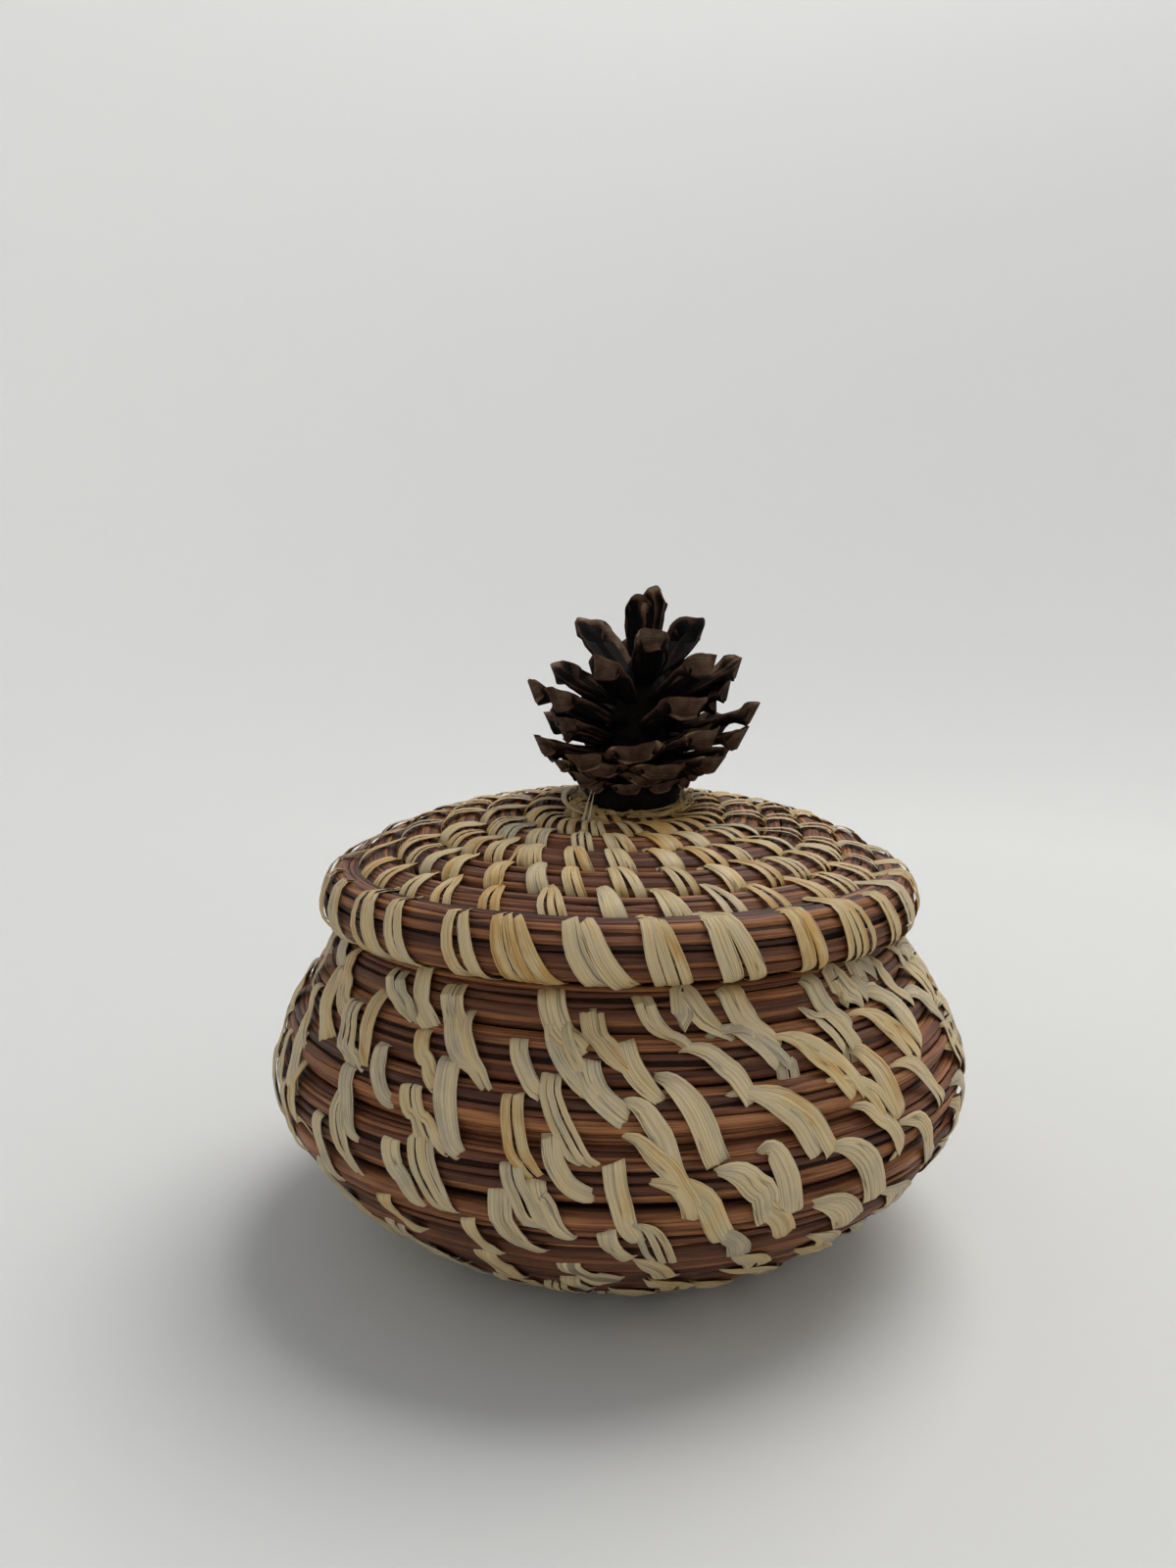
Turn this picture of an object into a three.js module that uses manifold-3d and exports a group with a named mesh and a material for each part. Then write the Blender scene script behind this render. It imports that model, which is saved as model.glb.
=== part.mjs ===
// Lidded coiled basket: bundles of pine needles wound in rows and sewn with raffia.
// A pine cone is the lid's knob.
// Millimetres, +Z up. The origin is the middle of the base's underside, and -Y is the front.
import * as THREE from "three";
import { mergeVertices } from "three/addons/utils/BufferGeometryUtils.js";
import Module from "manifold-3d";

// Body: the line through the middles of its rows runs flat across the base, flares to the belly
// and leans in to the mouth.
const FOOT_RADIUS = 29.5; // where the flat base starts to turn up
const FOOT_LEAD = 5; // how far the turn runs on flat before it climbs
const BELLY_RADIUS = 55.3;
const BELLY_HEIGHT = 28.5;
const BELLY_SWELL_BELOW = 10.5; // how long the wall stays upright below the belly
const BELLY_SWELL_ABOVE = 6.5; // and above it
const MOUTH_RADIUS = 45.3;
const MOUTH_HEIGHT = 48.6;
const SHOULDER_REACH = 4.7; // the last stretch of the shoulder, outward
const SHOULDER_DROP = 6.4; // and downward from the mouth

// Lid: a low dome that ends in one thicker row.
const LID_OVERHANG = 0.7; // the lid's rim row stands this far outside the mouth's row
const DOME_RISE = 12.4; // from the middle of the rim row to the middle of the crown
const DOME_FLAT = 21; // how far the crown runs level before it falls
const DOME_EDGE_INSET = 2.2; // the fall's last stretch, inward
const DOME_EDGE_RISE = 7; // and upward from the rim row

// Coils of needles: their rows after the first, and half their thickness through the wall.
// Rows share the profile's length, so their width along the wall, row to row, follows from it.
const BODY_COIL = { rows: 13, halfThickness: 3.1 };
const LID_COIL = { rows: 7, halfThickness: 3.2 };
const LID_RIM = { halfWidth: 4.2, halfThickness: 4.2 };
const LIP_COIL = { rows: 1, halfWidth: 2.5, halfThickness: 2.5 };
const ROW_GAP = 0.9; // room between two rows, for the raffia that passes there
const TAPER_END = 0.2; // share of its width that a coil's thin tail ends at
const SEWN_TAIL = 0.45; // share of its width down to which the tail is sewn
const START_TURNS = 0.2; // a coil's tapered start lies this far along the spiral from the middle
const START_GAP = 0.4; // room between that start and the middle

// Raffia: one strand for each row, one stitch for each facet of the coil.
const STITCHES_PER_ROW = 23.12;
const FIRST_SEWN_BODY_ROW = 6;
const FIRST_SEWN_LID_ROW = 3;
const STRAND_GAP = 0.35; // between a strand and the needles under it
const GROOVE_GAP = 0.15; // the same, where the strand is pinched between two rows
const STRAND_THICKNESS = { outer: 0.7, groove: 0.25, inner: 0.5 };
const STRAND_WIDTH = { outer: 0.36, groove: 0.26, inner: 0.24 }; // shares of the stitch spacing

// Fits between the lid, its lip and the body.
const SEAT_GAP = 0.3;
const LIP_CLEARANCE = 1.1; // between the lip and the raffia inside the mouth

// Pine cone and the raffia that ties it down.
const CONE_HEIGHT = 35.2; // to the highest tip
const CONE_SPREAD = 20.4; // from the axis to the farthest tip
const CONE_CORE_HEIGHT = 24.5;
const CONE_BASE_RADIUS = 9.5;
const CONE_WAIST_RADIUS = 5.2; // the woody core at half its height
const CONE_TOP_RADIUS = 1.6;
const CONE_OFFSET = 2.6; // the cone stands this far off the lid's middle
const CONE_LEAN = 0.08; // and leans the same way, sideways for each unit of height
const LOWEST_ROOT_HEIGHT = 3.4;
const ROOT_RISE = 0.576; // the other roots' height over that, as a share of their tips'
const SCALE_WIDTH = 9.4;
const SCALE_THICKNESS = 1.3; // of a scale of no length, at its tip
const SCALE_THICKENING = 0.1; // and for each unit of its length
const TIE_RADIUS = 0.6;
const TIE_TURNS = 1.4;

// Open scales: degrees round the cone with the front at -90, then shares of the cone's height, its
// spread and a scale's width.
const OPEN_SCALES = [
  [130, 0.87, 0.78, 0.91],
  [105, 0.97, 0.23, 0.59],
  [75, 1, 0.15, 0.53],
  [50, 0.86, 0.69, 0.79],
  [12, 0.66, 0.84, 0.85],
  [-5, 0.44, 1, 0.98],
  [-24, 0.33, 0.95, 0.91],
  [-40, 0.2, 0.84, 0.87],
  [178, 0.54, 0.95, 0.94],
  [-142, 0.52, 0.93, 0.91],
  [-164, 0.28, 0.88, 0.96],
  [-121, 0.66, 0.69, 0.72],
  [-86, 0.79, 0.49, 0.64],
  [-67, 0.48, 0.9, 0.96],
  [-93, 0.27, 0.82, 1],
  [-127, 0.22, 0.78, 0.96],
  [-49, 0.67, 0.74, 0.74],
  [-52, 0.34, 0.89, 0.89],
  [92, 0.77, 0.59, 0.85],
  [62, 0.6, 0.86, 0.96],
  [150, 0.64, 0.86, 0.91],
  [105, 0.54, 0.91, 0.96],
  [80, 0.4, 0.96, 0.98],
  [34, 0.37, 0.96, 0.98],
  [143, 0.37, 0.95, 0.98],
  [112, 0.27, 0.89, 0.96],
  [60, 0.25, 0.87, 0.96],
  [16, 0.22, 0.85, 0.91],
  [168, 0.22, 0.81, 0.94],
];
// Rings of closer scales in the same shares, some of them open at the front.
const CLOSER_RINGS = [
  { height: 0.64, reach: 0.39, width: 0.74, count: 5, first: 20, open: true },
  { height: 0.47, reach: 0.64, width: 0.91, count: 6, first: 5, open: true },
  { height: 0.33, reach: 0.69, width: 0.98, count: 6, first: 12, open: true },
  { height: 0.18, reach: 0.71, width: 1.09, count: 8, first: 14, open: false },
  { height: 0.12, reach: 0.58, width: 1, count: 6, first: 32, open: false },
];
const RING_OPENING = 41; // degrees to each side of the front

// Facets.
const SIDES = 6;
const CORE_STEPS = 8;
const LEAST_FACET = 0.3; // slivers where scales cross, finer than this, are dropped
const TIE_STEPS = 14;
const TIE_SIDES = 5;

const TAU = 2 * Math.PI;
const FRONT = -Math.PI / 2;
const SEARCH_STEP = 0.002; // of a turn or of a profile, where a place is found by walking along
const CLIMB = [0.3, 0.7]; // a row climbs to the next between these shares of its turn from the front

const NEEDLES = new THREE.MeshStandardMaterial({ color: 0x5a3a2a, roughness: 0.55, metalness: 0 });
const RAFFIA = new THREE.MeshStandardMaterial({ color: 0xc4ae82, roughness: 0.6, metalness: 0 });
const CONE = new THREE.MeshStandardMaterial({ color: 0x3b2a22, roughness: 0.75, metalness: 0 });

const wasm = await Module();
wasm.setup();

// Helpers for closed meshes

// Joins rings of points, each a loop of the same length, into one closed skin with flat ends.
function skin(rings) {
  const around = rings[0].length;
  const vertices = rings.flat().flatMap((p) => [p.x, p.y, p.z]);
  const triangles = [];
  for (let i = 0; i + 1 < rings.length; i++)
    for (let j = 0; j < around; j++) {
      const a = i * around + j;
      const b = i * around + ((j + 1) % around);
      triangles.push(a, a + around, b, b, a + around, b + around);
    }
  const last = (rings.length - 1) * around;
  for (let j = 1; j + 1 < around; j++) {
    triangles.push(0, j, j + 1);
    triangles.push(last, last + j + 1, last + j);
  }
  const geometry = new THREE.BufferGeometry();
  geometry.setAttribute("position", new THREE.Float32BufferAttribute(vertices, 3));
  geometry.setIndex(volumeOf(vertices, triangles) < 0 ? triangles.reverse() : triangles);
  return geometry;
}

function volumeOf(vertices, triangles) {
  const corner = (k) => new THREE.Vector3().fromArray(vertices, 3 * triangles[k]);
  let volume = 0;
  for (let k = 0; k < triangles.length; k += 3)
    volume += corner(k).dot(corner(k + 1).cross(corner(k + 2))) / 6;
  return volume;
}

function toSolid(geometry) {
  const bare = geometry.clone();
  bare.deleteAttribute("normal");
  bare.deleteAttribute("uv");
  const merged = mergeVertices(bare);
  const vertProperties = merged.attributes.position.array;
  const triVerts = new Uint32Array(merged.index.array);
  return new wasm.Manifold(new wasm.Mesh({ numProp: 3, vertProperties, triVerts }));
}

function toGeometry(solid) {
  const mesh = solid.getMesh();
  const geometry = new THREE.BufferGeometry();
  geometry.setAttribute("position", new THREE.BufferAttribute(new Float32Array(mesh.vertProperties), 3));
  geometry.setIndex(new THREE.BufferAttribute(new Uint32Array(mesh.triVerts), 1));
  return geometry;
}

function addPiece(group, name, geometry, material) {
  const mesh = new THREE.Mesh(geometry, material.clone());
  mesh.name = name;
  group.add(mesh);
  return mesh;
}

// Coils

// How far a row has climbed to the next, from 0 to 1, at a share of its turn.
const climbed = (share) => THREE.MathUtils.smoothstep(share, CLIMB[0], CLIMB[1]);

// A coil follows a profile in (radius, height): rows lie level round the front and climb a row at the back.
// side is 1 where the outside lies right of the profile's direction, and -1 where it lies left of it.
// Nothing of the coil lies under floor.
function makeCoil({
  profile,
  side,
  coil: { rows, halfThickness },
  rim,
  firstLevelRow,
  start = START_TURNS,
  floor = -Infinity,
  facetsAt,
}) {
  const length = profile.getLength();
  const pitch = rim ? (length - rim.halfWidth - ROW_GAP / 2) / (rows - 1 / 2) : length / rows;
  const plain = { halfWidth: (pitch - ROW_GAP) / 2, halfThickness };
  const last = rim ?? plain;
  const wider = last.halfWidth - plain.halfWidth;
  const thicker = last.halfThickness - plain.halfThickness;
  const lastPitch = 2 * last.halfWidth + ROW_GAP;

  // The centre, width and thickness of the bundle after so many turns.
  function along(turns) {
    const row = Math.floor(turns);
    const share = turns - row;
    const levelling = Math.max(1, rows - 1 - firstLevelRow);
    const levelled = THREE.MathUtils.clamp((turns - firstLevelRow) / levelling, 0, 1);
    const swelling = row >= rows ? 1 : row === rows - 1 ? climbed(share) : 0;
    const thinning = row >= rows ? (climbed(share) * lastPitch) / (2 * last.halfWidth) : 0;
    const tail = Math.max(TAPER_END, 1 - thinning);
    const halfWidth = (plain.halfWidth + wider * swelling) * tail;
    const halfThickness = (plain.halfThickness + thicker * swelling) * Math.sqrt(tail);
    const level = turns + levelled * (climbed(share) - share);
    const onTop = length + (1 - tail) * last.halfWidth;
    const distance = row >= rows ? onTop : pitch * level + wider * swelling;
    return { distance, halfWidth, halfThickness, tail };
  }

  function ringAt(turns) {
    const { distance, halfWidth, halfThickness, tail } = along(turns);
    const share = THREE.MathUtils.clamp(distance / length, 0, 1);
    const flat = profile.getPoint(share);
    const ahead = profile.getTangent(share);
    flat.addScaledVector(ahead, distance - share * length);
    flat.y = Math.max(flat.y, floor + halfThickness * ahead.x + (halfWidth / 2) * Math.abs(ahead.y));
    const angle = FRONT + TAU * turns;
    const inSpace = (r, z) => new THREE.Vector3(r * Math.cos(angle), r * Math.sin(angle), z);
    const centre = inSpace(flat.x, flat.y);
    const next = inSpace(ahead.x, ahead.y);
    const out = inSpace(side * ahead.y, -side * ahead.x);
    const room = Math.min(halfWidth, flat.x - START_GAP); // the start turns in the middle, so it is thin
    const corners = [];
    for (let j = 0; j < SIDES; j++) {
      const turn = (TAU * (j + 0.5)) / SIDES;
      const acrossFlats = Math.cos(Math.PI / SIDES);
      corners.push(
        centre
          .clone()
          .addScaledVector(out, (halfThickness * Math.cos(turn)) / acrossFlats)
          .addScaledVector(next, room * Math.sin(turn)),
      );
    }
    return { turns, centre, corners, sewn: tail >= SEWN_TAIL };
  }

  let end = rows + CLIMB[0];
  while (along(end).tail > TAPER_END) end += SEARCH_STEP;
  const rings = [];
  for (let turns = start; turns < end; turns += 1 / facetsAt(turns)) rings.push(ringAt(turns));
  rings.push(ringAt(end));
  return { rings, rows, geometry: skin(rings.map((r) => r.corners)) };
}

// The least room between a coil and its own next row, on points all along their facing edges.
function leastGap({ rings }) {
  const NEXT = 1;
  const PREVIOUS = 4;
  const along = (a, b) => [0, 0.25, 0.5, 0.75].map((t) => a.clone().lerp(b, t));
  const edge = (corner) =>
    rings.slice(1).flatMap((r, i) => along(rings[i].corners[corner], r.corners[corner]));
  const facing = edge(PREVIOUS);
  return Math.min(...edge(NEXT).map((p) => Math.min(...facing.map((q) => p.distanceTo(q)))));
}

// Raffia

// A wrap goes round the corners of a facet, over the outside first, at these shares of the facet's length.
const WRAP = [
  { place: "groove", corner: 1, at: 0.22 },
  { place: "outer", corner: 0, at: 0.34 },
  { place: "outer", corner: 5, at: 0.56 },
  { place: "groove", corner: 4, at: 0.68 },
  { place: "inner", corner: 3, at: 0.8 },
  { place: "inner", corner: 2, at: 1.2 },
];
// The same wrap, begun at the other groove.
const WRAP_FROM_PREVIOUS = WRAP.map((w) => ({ ...w, corner: (2 * SIDES - 1 - w.corner) % SIDES }));

// One strand of raffia round a row of a coil, as a crowned strip that lies on the facets.
function makeStrand(coil, row, wrap) {
  const middle = CLIMB[0] / 2 + CLIMB[1] / 2;
  const inRow = (r) => r.turns >= row - middle && r.turns < row + 1 - middle;
  const sections = [];
  coil.rings.forEach((ring, i) => {
    const after = coil.rings[i + 2];
    if (!inRow(ring) || !after || !after.sewn) return;
    for (const { place, corner, at } of wrap) {
      const a = coil.rings[i + Math.floor(at)];
      const b = coil.rings[i + Math.floor(at) + 1];
      const t = at % 1;
      const onEdge = a.corners[corner].clone().lerp(b.corners[corner], t);
      const out = onEdge.clone().sub(a.centre.clone().lerp(b.centre, t)).normalize();
      const run = b.corners[corner].clone().sub(a.corners[corner]);
      const gap = place === "groove" ? GROOVE_GAP : STRAND_GAP;
      const foot = onEdge.addScaledVector(out, gap);
      const half = run.multiplyScalar(STRAND_WIDTH[place] / 2);
      sections.push([
        foot.clone().sub(half),
        foot.clone().add(half),
        foot.clone().addScaledVector(out, STRAND_THICKNESS[place]),
      ]);
    }
  });
  return skin(sections);
}

// Body

const bodyProfile = new THREE.CurvePath();
const bodyFoot = new THREE.Vector2(FOOT_RADIUS, BODY_COIL.halfThickness);
const belly = new THREE.Vector2(BELLY_RADIUS, BELLY_HEIGHT);
const mouth = new THREE.Vector2(MOUTH_RADIUS, MOUTH_HEIGHT);
bodyProfile.add(new THREE.LineCurve(new THREE.Vector2(0, bodyFoot.y), bodyFoot));
bodyProfile.add(
  new THREE.CubicBezierCurve(
    bodyFoot,
    new THREE.Vector2(FOOT_RADIUS + FOOT_LEAD, bodyFoot.y),
    new THREE.Vector2(BELLY_RADIUS, BELLY_HEIGHT - BELLY_SWELL_BELOW),
    belly,
  ),
);
bodyProfile.add(
  new THREE.CubicBezierCurve(
    belly,
    new THREE.Vector2(BELLY_RADIUS, BELLY_HEIGHT + BELLY_SWELL_ABOVE),
    new THREE.Vector2(MOUTH_RADIUS + SHOULDER_REACH, MOUTH_HEIGHT - SHOULDER_DROP),
    mouth,
  ),
);

// The plain rows under the base and under the cone have fewer facets, as their turns are small.
const plainFacets = (turns) => Math.min(STITCHES_PER_ROW, 12 + 2 * Math.floor(turns));
const facetsOf = (firstSewn) => (turns) => (turns >= firstSewn - 1 ? STITCHES_PER_ROW : plainFacets(turns));

const bodyCoil = makeCoil({
  profile: bodyProfile,
  side: 1,
  coil: BODY_COIL,
  floor: 0,
  firstLevelRow: FIRST_SEWN_BODY_ROW - 1,
  facetsAt: facetsOf(FIRST_SEWN_BODY_ROW),
});
const basket = new THREE.Group();
addPiece(basket, "body_coil", bodyCoil.geometry, NEEDLES);
for (let row = FIRST_SEWN_BODY_ROW; row <= bodyCoil.rows; row++) {
  const number = row - FIRST_SEWN_BODY_ROW + 1;
  const name = row === bodyCoil.rows ? "mouth_row_raffia" : `wall_row_${number}_raffia`;
  addPiece(basket, name, makeStrand(bodyCoil, row, WRAP), RAFFIA);
}

// Lid, built with the middle of its rim row at height 0

const lidRadius = MOUTH_RADIUS + LID_OVERHANG;
const lidProfile = new THREE.CubicBezierCurve(
  new THREE.Vector2(0, DOME_RISE),
  new THREE.Vector2(DOME_FLAT, DOME_RISE),
  new THREE.Vector2(lidRadius - DOME_EDGE_INSET, DOME_EDGE_RISE),
  new THREE.Vector2(lidRadius, 0),
);
const lidPath = new THREE.CurvePath();
lidPath.add(lidProfile);
const lidCoil = makeCoil({
  profile: lidPath,
  side: -1,
  coil: LID_COIL,
  rim: LID_RIM,
  firstLevelRow: 1,
  facetsAt: facetsOf(FIRST_SEWN_LID_ROW),
});
const lid = new THREE.Group();
addPiece(lid, "lid_coil", lidCoil.geometry, NEEDLES);
for (let row = FIRST_SEWN_LID_ROW; row <= lidCoil.rows; row++) {
  const number = row - FIRST_SEWN_LID_ROW + 1;
  const name = row === lidCoil.rows ? "lid_rim_raffia" : `lid_row_${number}_raffia`;
  addPiece(lid, name, makeStrand(lidCoil, row, WRAP_FROM_PREVIOUS), RAFFIA);
}
const highest = (group) => new THREE.Box3().setFromObject(group, true).max.z;
const lowest = (group) => new THREE.Box3().setFromObject(group, true).min.z;
const lidUnderside = lowest(lid);
lid.position.z = highest(basket) + SEAT_GAP - lidUnderside;

// The lip hangs under the dome, just inside the mouth, and keeps the lid from sliding off.
const insideStrand = STRAND_GAP + STRAND_THICKNESS.inner;
const mouthInside = MOUTH_RADIUS - BODY_COIL.halfThickness - insideStrand;
const lipRadius = mouthInside - LIP_CLEARANCE - LIP_COIL.halfThickness;
let lipShare = 0;
while (lipShare < 1 && lidPath.getPoint(lipShare).x < lipRadius) lipShare += SEARCH_STEP;
const domeOver = lidPath.getPoint(lipShare);
const domeSlope = lidPath.getTangent(lipShare);
const domeUnderside = domeOver.y - (LID_COIL.halfThickness + insideStrand + 2 * SEAT_GAP) / domeSlope.x;
const fallOverLip = (-domeSlope.y / domeSlope.x) * LIP_COIL.halfThickness;
const lipTop = domeUnderside - Math.max(LIP_COIL.halfWidth, LIP_COIL.halfWidth / 2 + fallOverLip);
const lipPitch = 2 * LIP_COIL.halfWidth + ROW_GAP;
const lipPath = new THREE.CurvePath();
lipPath.add(
  new THREE.LineCurve(
    new THREE.Vector2(lipRadius, lipTop),
    new THREE.Vector2(lipRadius, lipTop - LIP_COIL.rows * lipPitch),
  ),
);
const lipCoil = makeCoil({
  profile: lipPath,
  side: -1,
  coil: LIP_COIL,
  firstLevelRow: -1,
  start: -CLIMB[0],
  facetsAt: () => STITCHES_PER_ROW,
});
addPiece(lid, "lid_lip_coil", lipCoil.geometry, NEEDLES);

// Pine cone

// One woody scale, along +X from the core to its thick blunt tip, which is set back below.
function scaleGeometry(length, width) {
  const stations = [
    { over: 0, under: 0, wide: 0.44, narrow: 0.3, top: 0.17, bottom: -0.17 },
    { over: 0.66, under: 0.66, wide: 1, narrow: 0.9, top: -0.17, bottom: -0.55 },
    { over: 1, under: 0.86, wide: 0.8, narrow: 0.5, top: 0, bottom: -1 },
  ];
  const thickness = SCALE_THICKNESS + SCALE_THICKENING * length;
  const rings = stations.map((s) => [
    new THREE.Vector3(s.over * length, (s.wide * width) / 2, s.top * thickness),
    new THREE.Vector3(s.over * length, (-s.wide * width) / 2, s.top * thickness),
    new THREE.Vector3(s.under * length, (-s.narrow * width) / 2, s.bottom * thickness),
    new THREE.Vector3(s.under * length, (s.narrow * width) / 2, s.bottom * thickness),
  ]);
  return skin(rings);
}

function allScales() {
  const scales = OPEN_SCALES.map(([turn, height, reach, width]) => ({ turn, height, reach, width }));
  for (const { height, reach, width, count, first, open } of CLOSER_RINGS)
    for (let i = 0; i < count; i++) {
      const turn = first + (360 * i) / count;
      const fromFront = Math.abs(((turn + 90 + 180) % 360) - 180);
      if (!open || fromFront > RING_OPENING) scales.push({ turn, height, reach, width });
    }
  return scales;
}

function coneGeometry() {
  const coreRadius = (height) => {
    const share = height / CONE_CORE_HEIGHT;
    return share < 0.5
      ? THREE.MathUtils.lerp(CONE_BASE_RADIUS, CONE_WAIST_RADIUS, share / 0.5)
      : THREE.MathUtils.lerp(CONE_WAIST_RADIUS, CONE_TOP_RADIUS, (share - 0.5) / 0.5);
  };
  const outline = [new THREE.Vector2(0, 0)];
  for (const share of [0, 0.5, 1]) {
    const height = share * CONE_CORE_HEIGHT;
    outline.push(new THREE.Vector2(coreRadius(height), height));
  }
  outline.push(new THREE.Vector2(0, CONE_CORE_HEIGHT));
  const core = new THREE.LatheGeometry(outline, CORE_STEPS).rotateX(Math.PI / 2);
  let solid = toSolid(core);
  for (const { turn, height, reach, width } of allScales()) {
    const tip = new THREE.Vector2(reach * CONE_SPREAD, height * CONE_HEIGHT);
    const rootHeight = LOWEST_ROOT_HEIGHT + (tip.y - LOWEST_ROOT_HEIGHT) * ROOT_RISE;
    const root = new THREE.Vector2(coreRadius(rootHeight) / 2, rootHeight);
    const blade = tip.sub(root);
    const place = new THREE.Matrix4()
      .makeRotationZ(THREE.MathUtils.degToRad(turn))
      .multiply(new THREE.Matrix4().makeTranslation(root.x, 0, root.y))
      .multiply(new THREE.Matrix4().makeRotationY(-blade.angle()));
    const scale = scaleGeometry(blade.length(), width * SCALE_WIDTH);
    solid = solid.add(toSolid(scale.applyMatrix4(place)));
  }
  // Pockets that crossing scales close off are left solid.
  const bodies = solid.simplify(LEAST_FACET).decompose();
  return toGeometry(bodies.reduce((most, body) => (body.volume() > most.volume() ? body : most)));
}

const knob = new THREE.Group();
knob.position.set(CONE_OFFSET, 0, DOME_RISE + LID_COIL.halfThickness + SEAT_GAP);
const leaning = new THREE.Matrix4().makeShear(0, 0, 0, 0, CONE_LEAN, 0);
addPiece(knob, "pine_cone", coneGeometry().applyMatrix4(leaning), CONE);

// Raffia wound round the foot of the cone, each turn outside the one before.
function tieGeometry() {
  const radius = CONE_BASE_RADIUS + SEAT_GAP + TIE_RADIUS;
  const growth = 2 * TIE_RADIUS + STRAND_GAP;
  const rings = [];
  for (let i = 0; i <= Math.round(TIE_TURNS * TIE_STEPS); i++) {
    const turns = i / TIE_STEPS;
    const angle = FRONT + TAU * turns;
    const ring = [];
    for (let j = 0; j < TIE_SIDES; j++) {
      const turn = (TAU * j) / TIE_SIDES;
      const r = radius + growth * turns + TIE_RADIUS * Math.cos(turn);
      const z = TIE_RADIUS + TIE_RADIUS * Math.sin(turn);
      ring.push(new THREE.Vector3(r * Math.cos(angle), r * Math.sin(angle), z));
    }
    rings.push(ring);
  }
  return skin(rings);
}
addPiece(knob, "cone_tie", tieGeometry(), RAFFIA);

lid.add(knob);
const part = new THREE.Group();
part.add(basket, lid);

const coils = { body_coil: bodyCoil, lid_coil: lidCoil, lid_lip_coil: lipCoil };
for (const [name, coil] of Object.entries(coils))
  console.log(`${name}: ${coil.rows} rows, least gap to itself ${leastGap(coil).toFixed(2)} mm`);

export default part;
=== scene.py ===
import math
from functools import partial
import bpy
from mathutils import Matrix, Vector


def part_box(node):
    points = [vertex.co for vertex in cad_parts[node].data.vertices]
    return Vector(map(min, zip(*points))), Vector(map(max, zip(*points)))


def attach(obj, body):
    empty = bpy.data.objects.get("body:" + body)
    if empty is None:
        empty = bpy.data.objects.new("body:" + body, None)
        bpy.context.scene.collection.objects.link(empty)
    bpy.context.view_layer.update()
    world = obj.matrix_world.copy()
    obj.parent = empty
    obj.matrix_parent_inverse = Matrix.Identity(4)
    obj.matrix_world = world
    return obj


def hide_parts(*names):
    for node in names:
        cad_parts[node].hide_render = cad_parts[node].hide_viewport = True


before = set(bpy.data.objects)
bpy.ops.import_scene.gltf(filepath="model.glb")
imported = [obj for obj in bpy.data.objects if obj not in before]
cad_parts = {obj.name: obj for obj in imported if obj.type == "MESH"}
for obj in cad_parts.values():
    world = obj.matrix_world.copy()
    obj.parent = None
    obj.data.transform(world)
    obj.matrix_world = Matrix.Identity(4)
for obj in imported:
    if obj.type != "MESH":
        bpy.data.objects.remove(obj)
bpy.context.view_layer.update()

from types import SimpleNamespace

import bpy
import numpy as np
from mathutils import Vector

mm = 0.001
fullTurn = 2 * math.pi
front = -math.pi / 2
print("frame loaded, nodes:", len(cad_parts))


# Small helpers

def linear(hexColour):
    # sRGB hex to the linear colour that a socket takes
    channels = [int(hexColour[i:i + 2], 16) / 255 for i in (1, 3, 5)]
    return (*(c / 12.92 if c <= 0.04045 else ((c + 0.055) / 1.055) ** 2.4 for c in channels), 1)


def fillInputs(tree, node, inputs):
    # an input, by name or in order, gets a value, or is linked from a node, a socket or a list of them
    named = inputs if isinstance(inputs, dict) else dict(enumerate(inputs))
    for name, value in named.items():
        for source in value if isinstance(value, list) else [value]:
            if isinstance(source, bpy.types.Node):
                source = source.outputs[0]
            if isinstance(source, bpy.types.NodeSocket):
                tree.links.new(source, node.inputs[name])
            else:
                node.inputs[name].default_value = source


def addNode(tree, kind, inputs=None, operation=None, **settings):
    # one node with its settings and links; its kind may leave out the prefix of its family. A map range's
    # inputs are its value, then from and to which range it is brought
    names = [family + kind for family in ("ShaderNode", "GeometryNode", "FunctionNode", "")]
    node = tree.nodes.new(next(name for name in names if hasattr(bpy.types, name)))
    if operation:
        node.operation = operation
    for name, value in settings.items():
        setattr(node, name, value)
    fillInputs(tree, node, inputs or {})
    return node


def fillRamp(ramp, stops):
    elements = ramp.color_ramp.elements
    while len(elements) < len(stops):
        elements.new(0.5)
    for element, (place, colour) in zip(elements, stops.items()):
        element.position = place
        element.color = linear(colour)


def smoothstep(value, low, high):
    t = np.clip((value - low) / (high - low), 0, 1)
    return t * t * (3 - 2 * t)


def newObject(name, data):
    made = bpy.data.objects.new(name, data)
    bpy.context.scene.collection.objects.link(made)
    return made


def setAttribute(mesh, label, values):
    values = np.asarray(values, np.float32)
    vectors = values.ndim == 2
    layer = mesh.attributes.new(label, "FLOAT_VECTOR" if vectors else "FLOAT", "POINT")
    layer.data.foreach_set("vector" if vectors else "value", values.ravel())


def guideObject(name, lines, attributes):
    # lines of points joined by edges, with attributes that the node tree reads
    starts = np.cumsum([0] + [len(line) for line in lines])
    edges = [(i, i + 1) for a, b in zip(starts, starts[1:]) for i in range(a, b - 1)]
    mesh = bpy.data.meshes.new(name)
    mesh.from_pydata(np.concatenate(lines).tolist(), edges, [])
    for label, values in attributes.items():
        setAttribute(mesh, label, np.concatenate(values))
    return newObject(name, mesh)


def plainMesh(name, points, faces, material):
    mesh = bpy.data.meshes.new(name)
    mesh.from_pydata(points, [], faces)
    mesh.shade_smooth()
    mesh.materials.append(material)
    return mesh


def ringFaces(rings, sides):
    # a fan round point 0, then bands between the rings of points after it
    faces = [(0, 1 + (j + 1) % sides, 1 + j) for j in range(sides)]
    for low in range(1, 1 + (rings - 1) * sides, sides):
        for j in range(sides):
            after = (j + 1) % sides
            faces.append((low + j, low + after, low + sides + after, low + sides + j))
    return faces


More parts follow.
